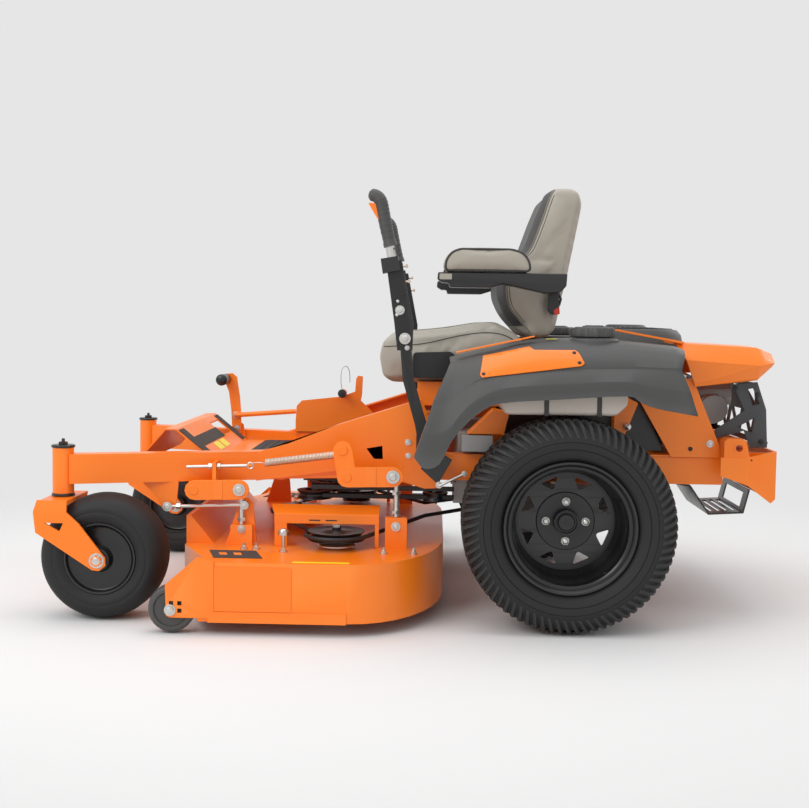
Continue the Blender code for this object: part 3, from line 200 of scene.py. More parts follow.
class Shape:
    """One piece's mesh, gathered from solids in the mower's own layout."""

    def __init__(self):
        self.work = bmesh.new()

    def faces(self, rings, closed_ring=True, caps=True, m=0):
        """Skin a list of rings of points, each joined to the next."""
        made = [[self.work.verts.new(p) for p in ring] for ring in rings]
        count = len(made[0])
        last = count if closed_ring else count - 1
        for near, far in zip(made, made[1:]):
            for i in range(last):
                j = (i + 1) % count
                face = self.work.faces.new((near[i], near[j], far[j], far[i]))
                face.material_index = m
        if caps:
            for ring in (made[0], made[-1][::-1]):
                self.work.faces.new(ring).material_index = m
        return self

    def prism(self, outline, low, high, axis="Y", m=0):
        """A straight bar of one outline, between two places along an axis."""
        place = PLANES[axis]
        return self.faces([[place(u, v, w) for u, v in outline] for w in (low, high)], m=m)

    def box(self, low, high, m=0):
        """An upright box between two corners."""
        outline = [(low[0], low[1]), (high[0], low[1]), (high[0], high[1]), (low[0], high[1])]
        return self.prism(outline, low[2], high[2], "Z", m)

    def slab(self, side, xs, ys, zs):
        """A box on one side, its ys measured out from the centre plane."""
        near, far = span(side, *ys)
        return self.box((xs[0], near, zs[0]), (xs[1], far, zs[1]))

    def rod(self, start, end, radius, count=16, end_radius=None, m=0):
        start, end = Vector(start), Vector(end)
        a, b = ring_frame((end - start).normalized())
        rings = []
        for point, r in ((start, radius), (end, radius if end_radius is None else end_radius)):
            rings.append([point + a * r * math.cos(t) + b * r * math.sin(t) for t in around(count)])
        return self.faces(rings, m=m)

    def lathe(self, profile, centre, axis="Y", count=48, m=0, caps=False):
        """Turn (radius, place along the axis) points; a closed profile repeats its first point."""
        place = PLANES[axis]
        centre = Vector(centre)
        rings = []
        for radius, along in profile:
            r = max(radius, 0.0002)
            rings.append([centre + place(r * math.cos(t), r * math.sin(t), along) for t in around(count)])
        return self.faces(rings, caps=caps, m=m)

    def tube(self, points, radius, count=8, m=0, closed=False):
        """A round bar along points; radius is one number or one for each point."""
        points = [Vector(p) for p in points]
        radii = radius if isinstance(radius, (list, tuple)) else [radius] * len(points)
        rings = []
        previous = None
        for i, point in enumerate(points):
            before = points[i - 1] if i or closed else point
            after = points[(i + 1) % len(points)] if closed or i < len(points) - 1 else point
            direction = (after - before).normalized()
            if previous is None:
                previous = ring_frame(direction)[0]
            a = (previous - direction * previous.dot(direction)).normalized()
            b = direction.cross(a)
            previous = a
            rings.append([point + (a * math.cos(t) + b * math.sin(t)) * radii[i] for t in around(count)])
        if closed:
            return self.faces(rings + [rings[0]], caps=False, m=m)
        return self.faces(rings, m=m)

    def bolt(self, at, direction, radius=0.0105, height=0.007, m=0, washer=True):
        """A hexagon head with a round crown on a washer; at is on the plate's face."""
        at, direction = Vector(at), Vector(direction).normalized()
        base = at
        if washer:
            self.rod(at - direction * 0.001, at + direction * 0.0018, radius * 1.35, 18, m=m)
            base = at + direction * 0.0016
        top = base + direction * height
        self.rod(base, top, radius, 6, m=m)
        self.rod(top - direction * 0.001, top + direction * 0.0012, radius * 0.82, 14, radius * 0.6, m=m)
        return self

    def dome(self, at, direction, radius, height, m=0):
        """A carriage bolt's low round head."""
        at, direction = Vector(at), Vector(direction).normalized()
        a, b = ring_frame(direction)
        rings = []
        for k in range(5):
            angle = math.pi / 2 * k / 4.3
            r, h = radius * math.cos(angle), height * math.sin(angle)
            rise = at + direction * h
            rings.append([rise + (a * math.cos(t) + b * math.sin(t)) * r for t in around(14)])
        return self.faces(rings, m=m)

    def cutout(self, outline, holes, low, high, axis="Y", m=0):
        """A flat plate with openings between two planes."""
        curve = bpy.data.curves.new("outline", "CURVE")
        curve.dimensions = "2D"
        curve.fill_mode = "BOTH"
        curve.extrude = abs(high - low) / 2
        for ring in (outline, *holes):
            spline = curve.splines.new("POLY")
            spline.points.add(len(ring) - 1)
            for point, (u, v) in zip(spline.points, ring):
                point.co = (u, v, 0.0, 1.0)
            spline.use_cyclic_u = True
        holder = bpy.data.objects.new("outline", curve)
        mesh = bpy.data.meshes.new_from_object(holder)
        middle = (low + high) / 2
        place = PLANES[axis]
        for vertex in mesh.vertices:
            vertex.co = place(vertex.co.x, vertex.co.y, vertex.co.z + middle)
        mesh.materials.clear()
        for face in mesh.polygons:
            face.material_index = m
        self.work.from_mesh(mesh)
        bpy.data.objects.remove(holder)
        return self

    def mesh(self, name):
        """The gathered mesh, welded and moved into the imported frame."""
        bmesh.ops.remove_doubles(self.work, verts=self.work.verts, dist=0.00001)
        bmesh.ops.recalc_face_normals(self.work, faces=self.work.faces)
        bmesh.ops.translate(self.work, vec=SHIFT, verts=self.work.verts)
        mesh = bpy.data.meshes.new(name)
        self.work.to_mesh(mesh)
        self.work.free()
        return mesh

    def done(self, name, finish, body, bevel=0.0, segments=2, stands_for=(), slot=None, angle=35):
        """Turn the shape into a named piece that rides on a body."""
        mesh = self.mesh(name)
        finishes = finish if isinstance(finish, (list, tuple)) else [finish]
        return piece(name, mesh, finishes, body, bevel, segments, stands_for, angle)


def piece(name, mesh, finishes, body, bevel=0.0, segments=2, stands_for=(), angle=35):
    for finish in finishes:
        mesh.materials.append(finish)
    mesh.shade_smooth()
    mesh.set_sharp_from_angle(angle=math.radians(angle))
    obj = bpy.data.objects.new(name, mesh)
    bpy.context.scene.collection.objects.link(obj)
    if bevel:
        rounding = obj.modifiers.new("edges", "BEVEL")
        rounding.width = bevel
        rounding.segments = segments
        rounding.limit_method = "ANGLE"
        rounding.angle_limit = math.radians(38)
        rounding.harden_normals = True
    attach(obj, body)
    if stands_for:
        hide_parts(*stands_for)
    return obj


def refine(node, bevel=0.0014, finish=None, angle=30):
    """Stand in for a CAD node with its own shape, its flats merged and its edges rounded."""
    mesh = NODES[node].data.copy()
    mesh.materials.clear()
    work = bmesh.new()
    work.from_mesh(mesh)
    bmesh.ops.remove_doubles(work, verts=work.verts, dist=0.00003)
    bmesh.ops.dissolve_limit(work, angle_limit=math.radians(1.5), verts=work.verts, edges=work.edges)
    work.to_mesh(mesh)
    work.free()
    slot = SLOT_OF[node]
    return piece(f"{node}_finished", mesh, [finish or NODE_FINISH[slot]], BODY_OF[node], bevel, 2,
            (node,), angle)


def smooth_path(points, steps=6):
    """A Catmull-Rom curve through the points."""
    points = [Vector(p) for p in points]
    padded = [points[0] * 2 - points[1]] + points + [points[-1] * 2 - points[-2]]
    path = []
    for a, b, c, d in zip(padded, padded[1:], padded[2:], padded[3:]):
        for i in range(steps):
            t = i / steps
            path.append(0.5 * ((2 * b) + (c - a) * t + (2 * a - 5 * b + 4 * c - d) * t * t + (3 * b - a
                    - 3 * c + d) * t ** 3))
    return path + [points[-1]]


def arc(centre, radius, start, end, steps):
    angles = [math.radians(start + (end - start) * i / steps) for i in range(steps + 1)]
    return [(centre[0] + radius * math.cos(a), centre[1] + radius * math.sin(a)) for a in angles]


def rounded(outline, radius, steps=4):
    """An outline with its corners rounded off."""
    result = []
    count = len(outline)
    for i, corner in enumerate(outline):
        corner = Vector(corner)
        before = Vector(outline[i - 1]) - corner
        after = Vector(outline[(i + 1) % count]) - corner
        reach = min(radius, before.length * 0.45, after.length * 0.45)
        a, b = corner + before.normalized() * reach, corner + after.normalized() * reach
        for k in range(steps + 1):
            t = k / steps
            result.append(tuple(a * (1 - t) ** 2 + corner * 2 * t * (1 - t) + b * t * t))
    return result


# ---- Drive wheels -----------------------------------------------------------
TYRE_WIDTH = 0.235
TYRE_SIDE = [
    (0.153, 0.042), (0.164, 0.0315), (0.174, 0.023), (0.179, 0.0165), (0.19, 0.0098),
    (0.2012, 0.0052), (0.203, 0.0066), (0.2048, 0.0044), (0.212, 0.0024), (0.2203, 0.0013),
    (0.222, 0.0028), (0.2237, 0.0013), (0.232, 0.0024), (0.24, 0.0048), (0.25, 0.0095),
    (0.26, 0.0185), (0.266, 0.031), (0.2682, 0.05)]
SHOULDER = [  # base radius and inset, then top radius and inset
    (0.233, 0.0026, 0.2335, 0.0014), (0.24, 0.0046, 0.242, 0.0018), (0.249, 0.009, 0.2525, 0.0046),
    (0.259, 0.017, 0.2645, 0.0112), (0.2655, 0.03, 0.2735, 0.026), (0.2675, 0.053, 0.2766, 0.053)]
TREAD_ROWS = [(0.058, 0.085), (0.089, 0.1155), (0.1195, 0.146), (0.15, 0.177)]
TREAD_COUNT = 76


def wheel_point(side, turn, radius, inset):
    return (REAR_AXLE[0] + radius * math.cos(turn), side * (REAR_TYRE_OUT - inset),
            REAR_AXLE[1] + radius * math.sin(turn))


def lug(shape, side, turn, slant, width, stations):
    """One tread block, swept round the tyre as it goes across."""
    rings = []
    for k, (base_r, base_in, top_r, top_in) in enumerate(stations):
        t = turn + slant * k / (len(stations) - 1)
        rings.append([wheel_point(side, t, base_r, base_in), wheel_point(side, t + width * 0.16, top_r,
                top_in), wheel_point(side, t + width * 0.84, top_r, top_in),
                wheel_point(side, t + width, base_r, base_in)])
    shape.faces(rings)


def drive_tyre(label, side):
    far = [(r, TYRE_WIDTH - a) for r, a in reversed(TYRE_SIDE)]
    ring = TYRE_SIDE + far + [(0.1532, 0.188), (0.245, 0.195), (0.245, 0.04), (0.1532, 0.047),
            TYRE_SIDE[0]]
    tyre = Shape().lathe([(r, side * (REAR_TYRE_OUT - a)) for r, a in ring],
            (REAR_AXLE[0], 0, REAR_AXLE[1]), "Y", 96)
    pitch = 2 * math.pi / TREAD_COUNT
    inner = [(r, TYRE_WIDTH - a, s, TYRE_WIDTH - b) for r, a, s, b in SHOULDER]
    for i in range(TREAD_COUNT):
        turn = i * pitch
        lug(tyre, side, turn, pitch * 1.15, pitch * 0.56, SHOULDER)
        lug(tyre, side, turn + pitch * 0.4, pitch * 1.15, pitch * 0.56, inner)
        for k, (near, far_in) in enumerate(TREAD_ROWS):
            slant = pitch * (0.45 if k % 2 else -0.45)
            lug(tyre, side, turn + pitch * (0.3 + 0.5 * (k % 2)), slant, pitch * 0.68,
                    [(0.267, near, 0.2768, near + 0.002), (0.267, far_in, 0.2768, far_in - 0.002)])
    tyre.done(f"{label}_tyre_treaded", TYRE, f"{label}_drive_wheel", stands_for=(f"{label}_tyre",),
            slot="tyre_rubber", angle=32)


RIM_BARREL = [
    (0.15, 0.2), (0.15, 0.045), (0.153, 0.035), (0.162, 0.0262), (0.17, 0.0212), (0.1716, 0.0165),
    (0.17, 0.0124), (0.1655, 0.0118), (0.1612, 0.0158), (0.158, 0.0205), (0.1535, 0.0212),
    (0.1495, 0.0245), (0.1462, 0.033), (0.1448, 0.05), (0.144, 0.076), (0.1385, 0.09),
    (0.135, 0.1), (0.134, 0.14), (0.1315, 0.1475), (0.125, 0.1478), (0.125, 0.153),
    (0.133, 0.1545), (0.14, 0.17), (0.1455, 0.18), (0.1455, 0.206), (0.156, 0.217),
    (0.169, 0.2185), (0.17, 0.2225), (0.1655, 0.2255), (0.154, 0.213), (0.15, 0.2)]
DISC_IN = 0.148
PLATE_IN = 0.1435
HUB_IN = 0.115
STUD_CIRCLE = 0.0525


def rim_windows():
    """Eight rounded triangles, point inwards, about the axle."""
    windows = []
    for i in range(8):
        centre = math.radians(22.5 + 45 * i)
        corners = [(0.087, centre), (0.1195, centre + 0.215), (0.1195, centre - 0.215)]
        flat = [(REAR_AXLE[0] + r * math.cos(t), REAR_AXLE[1] + r * math.sin(t)) for r, t in corners]
        windows.append(rounded(flat, 0.009, 4))
    return windows


def drive_rim(label, side):
    """The barrel, the disc with its windows, the hub and the four wheel nuts."""
    centre = (REAR_AXLE[0], 0, REAR_AXLE[1])

    def turned(profile):
        return [(r, side * (REAR_TYRE_OUT - a)) for r, a in profile]

    rim = Shape().lathe(turned(RIM_BARREL), centre, "Y", 96)
    edge = arc(REAR_AXLE, 0.129, 0, 357, 119)
    bore = arc(REAR_AXLE, 0.02, 0, 345, 23)
    near, far = REAR_TYRE_OUT - DISC_IN, REAR_TYRE_OUT - DISC_IN - 0.005
    rim.cutout(edge, rim_windows() + [bore], *span(side, near, far))
    rim.lathe(turned([(0.0, DISC_IN + 0.001), (0.076, DISC_IN + 0.001), (0.0775, PLATE_IN + 0.002),
            (0.0755, PLATE_IN), (0.0, PLATE_IN)]), centre, "Y", 72)
    rim.lathe(turned([(0.029, PLATE_IN + 0.001), (0.0345, PLATE_IN + 0.001), (0.033, HUB_IN + 0.002),
            (0.0318, HUB_IN), (0.029, HUB_IN + 0.001), (0.0275, HUB_IN + 0.008), (0.0, HUB_IN + 0.01)]),
            centre, "Y", 48)
    rim.lathe(turned([(0.0, HUB_IN + 0.012), (0.0225, HUB_IN + 0.012), (0.0225, HUB_IN + 0.002),
            (0.02, HUB_IN - 0.0005), (0.0, HUB_IN - 0.001)]), centre, "Y", 40)
    for turn in range(0, 360, 90):
        t = math.radians(turn)
        rim.rod(wheel_point(side, t, STUD_CIRCLE, PLATE_IN + 0.001), wheel_point(side, t, STUD_CIRCLE,
                PLATE_IN - 0.005), 0.0125, 20, 0.0105, m=1)
        rim.rod(wheel_point(side, t, STUD_CIRCLE, PLATE_IN - 0.004), wheel_point(side, t, STUD_CIRCLE,
                PLATE_IN - 0.015), 0.01, 6, 0.0098, m=1)
        rim.dome(wheel_point(side, t, STUD_CIRCLE, PLATE_IN - 0.015), (0, side, 0), 0.0082, 0.004, m=1)
    rim.rod((0.458, side * 0.552, 0.168), (0.449, side * 0.583, 0.16), 0.005, 12, 0.0042)
    rim.rod((0.449, side * 0.583, 0.16), (0.4475, side * 0.589, 0.1585), 0.0056, 10)
    rim.done(f"{label}_rim_pressed", [BLACK, ZINC], f"{label}_drive_wheel",
            stands_for=(f"{label}_rim",), slot="black_steel", angle=28)


CASTER_RIM = [
    (0.01, 0.084), (0.0285, 0.084), (0.03, 0.0822), (0.0315, 0.07), (0.036, 0.064),
    (0.06, 0.0612), (0.082, 0.06), (0.0852, 0.0622), (0.0872, 0.067), (0.09, 0.0692),
    (0.0938, 0.069), (0.0958, 0.066), (0.0958, 0.056)]
CASTER_TYRE = [
    (0.0945, 0.06), (0.0962, 0.0665), (0.0985, 0.0672), (0.103, 0.0702), (0.112, 0.074),
    (0.122, 0.075), (0.124, 0.0738), (0.126, 0.0748), (0.136, 0.0732), (0.146, 0.068),
    (0.155, 0.0585), (0.1612, 0.045), (0.1642, 0.028), (0.165, 0.01)]


def caster_wheel(label, side):
    centre = (CASTER_AXLE[0], side * CASTER_PIVOT[1], CASTER_AXLE[1])
    wheel = Shape()
    for half, finish in ((CASTER_RIM, 1), (CASTER_TYRE, 0)):
        ring = half + [(r, -a) for r, a in reversed(half)] + [half[0]]
        wheel.lathe(ring, centre, "Y", 80, m=finish)
    wheel.done(f"{label}_caster_wheel_turned", [TYRE, BLACK], f"{label}_caster_roller",
            stands_for=(f"{label}_caster_wheel",), slot="tyre_rubber", angle=40)
    fork = Shape()
    x, z = CASTER_AXLE
    for out, direction in ((0.57, side), (0.38, -side)):
        fork.bolt((x, side * out, z), (0, direction, 0), 0.015, 0.007)
    fork.done(f"{label}_axle_bolts", ZINC, f"{label}_caster", bevel=0.0006)
    cap = Shape()
    px, py = CASTER_PIVOT[0], side * CASTER_PIVOT[1]
    cap.lathe([(0.0, 0.4503), (0.03, 0.4503), (0.0312, 0.452), (0.0312, 0.4555), (0.029, 0.4576),
            (0.0, 0.458)], (px, py, 0), "Z", 40)
    cap.rod((px, py, 0.457), (px, py, 0.465), 0.0125, 6)
    cap.rod((px, py, 0.464), (px, py, 0.474), 0.005, 12, 0.004)
    cap.done(f"{label}_pivot_cap", BLACK, f"{label}_caster", bevel=0.0006)
    seal = Shape()
    seal.lathe([(0.0285, 0.3288), (0.0305, 0.327), (0.0305, 0.3225), (0.018, 0.3215), (0.018, 0.3285),
            (0.0285, 0.3288)], (px, py, 0), "Z", 40)
    seal.done(f"{label}_pivot_seal", BLACK, f"{label}_caster")


for label, side in SIDES.items():
    drive_tyre(label, side)
    drive_rim(label, side)
    caster_wheel(label, side)


# ---- Seat -------------------------------------------------------------------
def shape_of(obj):
    """The object's mesh with its modifiers applied."""
    graph = bpy.context.evaluated_depsgraph_get()
    return bpy.data.meshes.new_from_object(obj.evaluated_get(graph))


SWELL_STEPS = 20
SWELL_PRESSURE = 4.0


def stuffed(shape, cap, voxel=0.006):
    """Swell a closed form as foam does under a sewn cover, by cloth under pressure."""
    scene = bpy.context.scene
    obj = bpy.data.objects.new("swelling", shape.mesh("swelling"))
    scene.collection.objects.link(obj)
    even = obj.modifiers.new("even", "REMESH")
    even.mode = "VOXEL"
    even.voxel_size = voxel
    mesh = shape_of(obj)
    obj.modifiers.clear()
    obj.data = mesh
    rest = [vertex.co.copy() for vertex in mesh.vertices]
    cloth = obj.modifiers.new("cloth", "CLOTH")
    cloth.settings.use_pressure = True
    cloth.settings.uniform_pressure_force = SWELL_PRESSURE
    cloth.settings.effector_weights.gravity = 0.0
    cloth.point_cache.frame_end = SWELL_STEPS
    for step in range(1, SWELL_STEPS + 1):
        scene.frame_set(step)
    swollen = shape_of(obj)
    for vertex, start in zip(swollen.vertices, rest):
        moved = vertex.co - start
        if moved.length > cap:
            vertex.co = start + moved.normalized() * cap
    obj.modifiers.clear()
    obj.data = swollen
    scene.frame_set(1)
    soften = obj.modifiers.new("soften", "SMOOTH")
    soften.iterations = 3
    divide = obj.modifiers.new("divide", "SUBSURF")
    divide.levels = 1
    final = shape_of(obj)
    final.materials.clear()
    bpy.data.objects.remove(obj)
    return final


def lofted(stations):
    """A closed form through side outlines, each (y, outline) with as many points."""
    rings = [[(x, y, z) for x, z in outline] for y, outline in stations]
    return Shape().faces(rings)


def shrunk(outline, scale, dx=0.0, dz=0.0):
    cx = sum(p[0] for p in outline) / len(outline)
    cz = sum(p[1] for p in outline) / len(outline)
    return [(cx + (x - cx) * scale + dx, cz + (z - cz) * scale + dz) for x, z in outline]


def surface_point(tree, start, direction, proud=0.0):
    """Where a line from start meets the skin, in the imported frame."""
    direction = Vector(direction)
    hit, normal, _, _ = tree.ray_cast(Vector(start) + SHIFT, direction)
    if hit is None:
        return None
    if normal.dot(direction) > 0:
        normal = -normal
    return hit - SHIFT + normal * proud


def seam(name, tree, line, direction, offset, radius, finish, body, closed=False):
    """A thin tube laid on a skin: line is points in the layout, met along direction."""
    direction = Vector(direction)
    points = [surface_point(tree, Vector(p) - direction * offset, direction, radius * 0.35) for p in line]
    points = [p for p in points if p is not None]
    tube = Shape().tube(points, radius, 8, closed=closed)
    return tube.done(name, finish, body, angle=60)


CUSHION = [(-0.155, 0.634), (-0.161, 0.7), (-0.155, 0.744), (-0.122, 0.76), (-0.04, 0.764),
        (0.045, 0.774), (0.125, 0.789), (0.19, 0.789), (0.234, 0.77), (0.262, 0.745), (0.274, 0.7),
        (0.274, 0.634)]
BACK = [(0.276, 0.75), (0.238, 0.792), (0.202, 0.83), (0.181, 0.87), (0.179, 0.905), (0.202, 0.958),
        (0.26, 1.01), (0.291, 1.098), (0.319, 1.168), (0.339, 1.19), (0.38, 1.193), (0.406, 1.184),
        (0.411, 1.16), (0.39, 1.04), (0.372, 0.942), (0.352, 0.85), (0.33, 0.75)]
BACK_SEAM = [(0.272, 0.775), (0.24, 0.812), (0.216, 0.842), (0.206, 0.872), (0.205, 0.905),
        (0.222, 0.95), (0.25, 0.985), (0.272, 1.012), (0.3, 1.085), (0.321, 1.15), (0.336, 1.178)]
PAD = [(0.02, 0.938), (0.023, 0.966), (0.038, 0.988), (0.062, 0.998), (0.214, 0.998), (0.244, 0.988),
        (0.262, 0.966), (0.266, 0.938)]


def seam_x(line, z):
    for (x0, z0), (x1, z1) in zip(line, line[1:]):
        if z0 <= z <= z1:
            return x0 + (x1 - x0) * (z - z0) / (z1 - z0)
    return line[0][0] if z < line[0][1] else line[-1][0]


def seat_cushion():
    outline = rounded(CUSHION, 0.02, 3)
    stations = []
    for y, scale, sink in ((-0.236, 0.9, 0), (-0.228, 0.965, 0), (-0.205, 0.992, 0), (-0.16, 1.0, 0),
            (-0.11, 0.995, 1), (0.0, 0.99, 1.6)):
        ring = shrunk(outline, scale)
        ring = [(x, z - (0.006 * sink if z > 0.72 else 0)) for x, z in ring]
        stations.append((y, ring))
    stations += [(-y, ring) for y, ring in reversed(stations[:-1])]
    mesh = stuffed(lofted(stations), 0.01)
    for face in mesh.polygons:
        centre = face.center - SHIFT
        top = face.normal.z > 0.5 and centre.z > 0.7
        face.material_index = 1 if top and abs(centre.y) < 0.15 and -0.1 < centre.x < 0.2 else 0
    cover = piece("seat_cushion_cover", mesh, [VINYL, DARK_VINYL], "seat", angle=80,
            stands_for=("seat_cushion",))
    tree = skin_tree(mesh)
    side_line = smooth_path([(-0.15, 0, 0.726), (-0.085, 0, 0.731), (-0.023, 0, 0.738), (0.07, 0, 0.76),
            (0.14, 0, 0.77), (0.19, 0, 0.766), (0.225, 0, 0.75), (0.248, 0, 0.728)], 8)
    for label, side in SIDES.items():
        seam(f"{label}_cushion_seam", tree, side_line, (0, -side, 0), 0.4, 0.0013, PIPING, "seat")
        skirt = Shape().prism(rounded([(-0.062, 0.64), (-0.058, 0.712), (0.05, 0.716), (0.064, 0.7),
                (0.235, 0.7), (0.24, 0.64)], 0.01), *span(side, 0.233, 0.2515))
        skirt.done(f"{label}_seat_skirt", BLACK, "seat", bevel=0.002, angle=40)
    ring = rounded([(-0.1, -0.15), (0.2, -0.15), (0.2, 0.15), (-0.1, 0.15)], 0.04, 5)
    dense = [Vector((x, y, 0.9)) for x, y in ring]
    loop = []
    for a, b in zip(dense, dense[1:] + dense[:1]):
        loop += [a.lerp(b, k / 5) for k in range(5)]
    seam("cushion_top_piping", tree, loop, (0, 0, -1), 0.0, 0.0024, STITCH, "seat", closed=True)


def seat_back():
    outline = rounded(BACK, 0.012, 2)
    stations = []
    for y, scale, back_off in ((-0.212, 0.92, 0.016), (-0.205, 0.965, 0.013), (-0.188, 0.985, 0.008),
            (-0.16, 1.0, 0.0), (-0.08, 1.0, 0.004), (0.0, 1.0, 0.006)):
        ring = []
        for x, z in shrunk(outline, scale):
            front = x < 0.335 - (1.18 - z) * 0.16
            ring.append((x + (back_off if front else 0), z))
        stations.append((y, ring))
    stations += [(-y, ring) for y, ring in reversed(stations[:-1])]
    mesh = stuffed(lofted(stations), 0.009)
    for face in mesh.polygons:
        centre = face.center - SHIFT
        inside = centre.x < seam_x(BACK_SEAM, centre.z) and abs(centre.y) < 0.209
        face.material_index = 1 if inside and centre.z > 0.79 else 0
    cover = piece("seat_back_cover", mesh, [VINYL, DARK_VINYL], "seat", angle=80,
            stands_for=("seat_back",))
    tree = skin_tree(mesh)
    line = smooth_path([(x, 0, z) for x, z in BACK_SEAM], 6)
    for label, side in SIDES.items():
        seam(f"{label}_back_piping", tree, line, (0, -side, 0), 0.4, 0.0026, STITCH, "seat")
        inner = [(x + 0.008, 0, z) for x, _, z in line[4:-4]]
        seam(f"{label}_back_stitching", tree, inner, (0, -side, 0), 0.4, 0.0009, PIPING, "seat")
        bracket = Shape().prism(rounded([(0.322, 0.895), (0.35, 0.89), (0.352, 0.838), (0.335, 0.822),
                (0.32, 0.835)], 0.006), *span(side, 0.205, 0.2255))
        bracket.tube([(0.35, side * 0.216, 0.885), (0.357, side * 0.216, 0.868),
                (0.352, side * 0.216, 0.85)], 0.004, 8)
        bracket.done(f"{label}_back_bracket", BLACK, "seat", bevel=0.0015)
    tip = Shape().prism(rounded([(0.336, 0.836), (0.352, 0.846), (0.354, 0.826), (0.34, 0.822)], 0.003),
            -0.2285, -0.218)
    tip.done("back_release_tip", RED, "seat", bevel=0.001)


def armrests():
    outline = rounded(PAD, 0.012, 3)
    stations = [(0.29, shrunk(outline, 0.93)), (0.294, shrunk(outline, 0.975)), (0.302, outline),
            (0.343, outline), (0.351, shrunk(outline, 0.975)), (0.355, shrunk(outline, 0.93))]
    right = stuffed(lofted(stations), 0.005, 0.005)
    for label, side in SIDES.items():
        mesh = right.copy()
        if side < 0:
            work = bmesh.new()
            work.from_mesh(mesh)
            for vertex in work.verts:
                vertex.co.y = 2 * SHIFT.y - vertex.co.y
            bmesh.ops.reverse_faces(work, faces=work.faces)
            work.to_mesh(mesh)
            work.free()
        pad = piece(f"{label}_armrest_cover", mesh, [VINYL], f"{label}_armrest", angle=80,
                stands_for=(f"{label}_armrest_pad",))
        tree = skin_tree(mesh)
        ring = [(x, 0, z) for x, z in rounded(shrunk(PAD, 0.94), 0.03, 6)]
        for face, direction in (("outer", -side), ("inner", side)):
            start = 0.5 * side if face == "outer" else 0.2 * side
            loop = [(x, start, z) for x, _, z in ring]
            seam(f"{label}_armrest_piping_{face}", tree, loop, (0, direction, 0), 0.0, 0.003, PIPING,
                    f"{label}_armrest", closed=True)
        tab = Shape().prism(rounded([(0.012, 0.914), (0.012, 0.93), (0.046, 0.93), (0.046, 0.914)],
                0.003), *span(side, 0.349, 0.3515))
        tab.done(f"{label}_armrest_tab", VINYL, f"{label}_armrest", bevel=0.0008)
        refine(f"{label}_armrest_frame", 0.0035)


seat_cushion()
seat_back()
armrests()


# ---- Fenders ----------------------------------------------------------------
FENDER_ROWS = [
    # lip x and z, crease x and z, top x and z
    (-0.046, 0.452, 0.000, 0.585, 0.044, 0.704), (-0.02, 0.425, 0.035, 0.592, 0.072, 0.711),
    (0.018, 0.436, 0.062, 0.612, 0.095, 0.717), (0.05, 0.497, 0.092, 0.634, 0.122, 0.724),
    (0.085, 0.54, 0.12, 0.65, 0.15, 0.73), (0.12, 0.57, 0.152, 0.66, 0.182, 0.738),
    (0.172, 0.594, 0.2, 0.667, 0.225, 0.749), (0.322, 0.606, 0.321, 0.68, 0.322, 0.76),
    (0.487, 0.617, 0.48, 0.685, 0.47, 0.758), (0.52, 0.604, 0.53, 0.685, 0.53, 0.754),
    (0.565, 0.587, 0.578, 0.684, 0.585, 0.749), (0.668, 0.569, 0.63, 0.683, 0.648, 0.743)]


def fender_profile(side, row):
    """Lip, band, crease, side and top of the fender at one station."""
    lip_x, lip_z, mid_x, mid_z, top_x, top_z = row
    dx, dz = mid_x - lip_x, mid_z - lip_z
    rise = top_z - 0.012 - mid_z
    points = [(lip_x, 0.598, lip_z - 0.0005), (lip_x, 0.603, lip_z),
            (lip_x + dx * 0.25, 0.6045, lip_z + dz * 0.25),
            (lip_x + dx * 0.5, 0.6055, lip_z + dz * 0.5),
            (lip_x + dx * 0.545, 0.6045, lip_z + dz * 0.545),
            (lip_x + dx * 0.95, 0.579, lip_z + dz * 0.95), (mid_x, 0.5755, mid_z),
            (mid_x + 0.001, 0.5745, mid_z + 0.0055), (mid_x + (top_x - mid_x) * 0.4, 0.562,
            mid_z + rise * 0.4), (mid_x + (top_x - mid_x) * 0.8, 0.538, mid_z + rise * 0.8),
            (top_x, 0.512, top_z - 0.012), (top_x, 0.502, top_z - 0.0085),
            (top_x, 0.43, top_z - 0.0035), (top_x, 0.362, top_z)]
    return [Vector((x, side * y, z)) for x, y, z in points]


def fender(label, side):
    rows = [fender_profile(side, row) for row in FENDER_ROWS]
    tuck = [0.06 if i < 9 else 0.02 if i < 12 else 0.0 for i in range(len(rows[0]))]
    front = [Vector((p.x - 0.001, p.y - side * t, p.z)) for p, t in zip(rows[0], tuck)]
    columns = [smooth_path(column, 3) for column in zip(*rows)]
    grid = [[*row] for row in zip(*columns)]
    grid = [front, [p.lerp(q, 0.93) for p, q in zip(front, rows[0])]] + grid
    shell = Shape().faces(grid, closed_ring=False, caps=False)
    cover = shell.done(f"{label}_fender_moulded", GREY_PLASTIC, "chassis",
            stands_for=(f"{label}_fender",), slot="dark_plastic", angle=24)
    if cover.data.polygons[0].normal.y * side < 0:
        cover.data.flip_normals()
    tree = skin_tree(cover.data)
    sheet = cover.modifiers.new("sheet", "SOLIDIFY")
    sheet.thickness = 0.0045
    sheet.offset = -1.0
    return tree


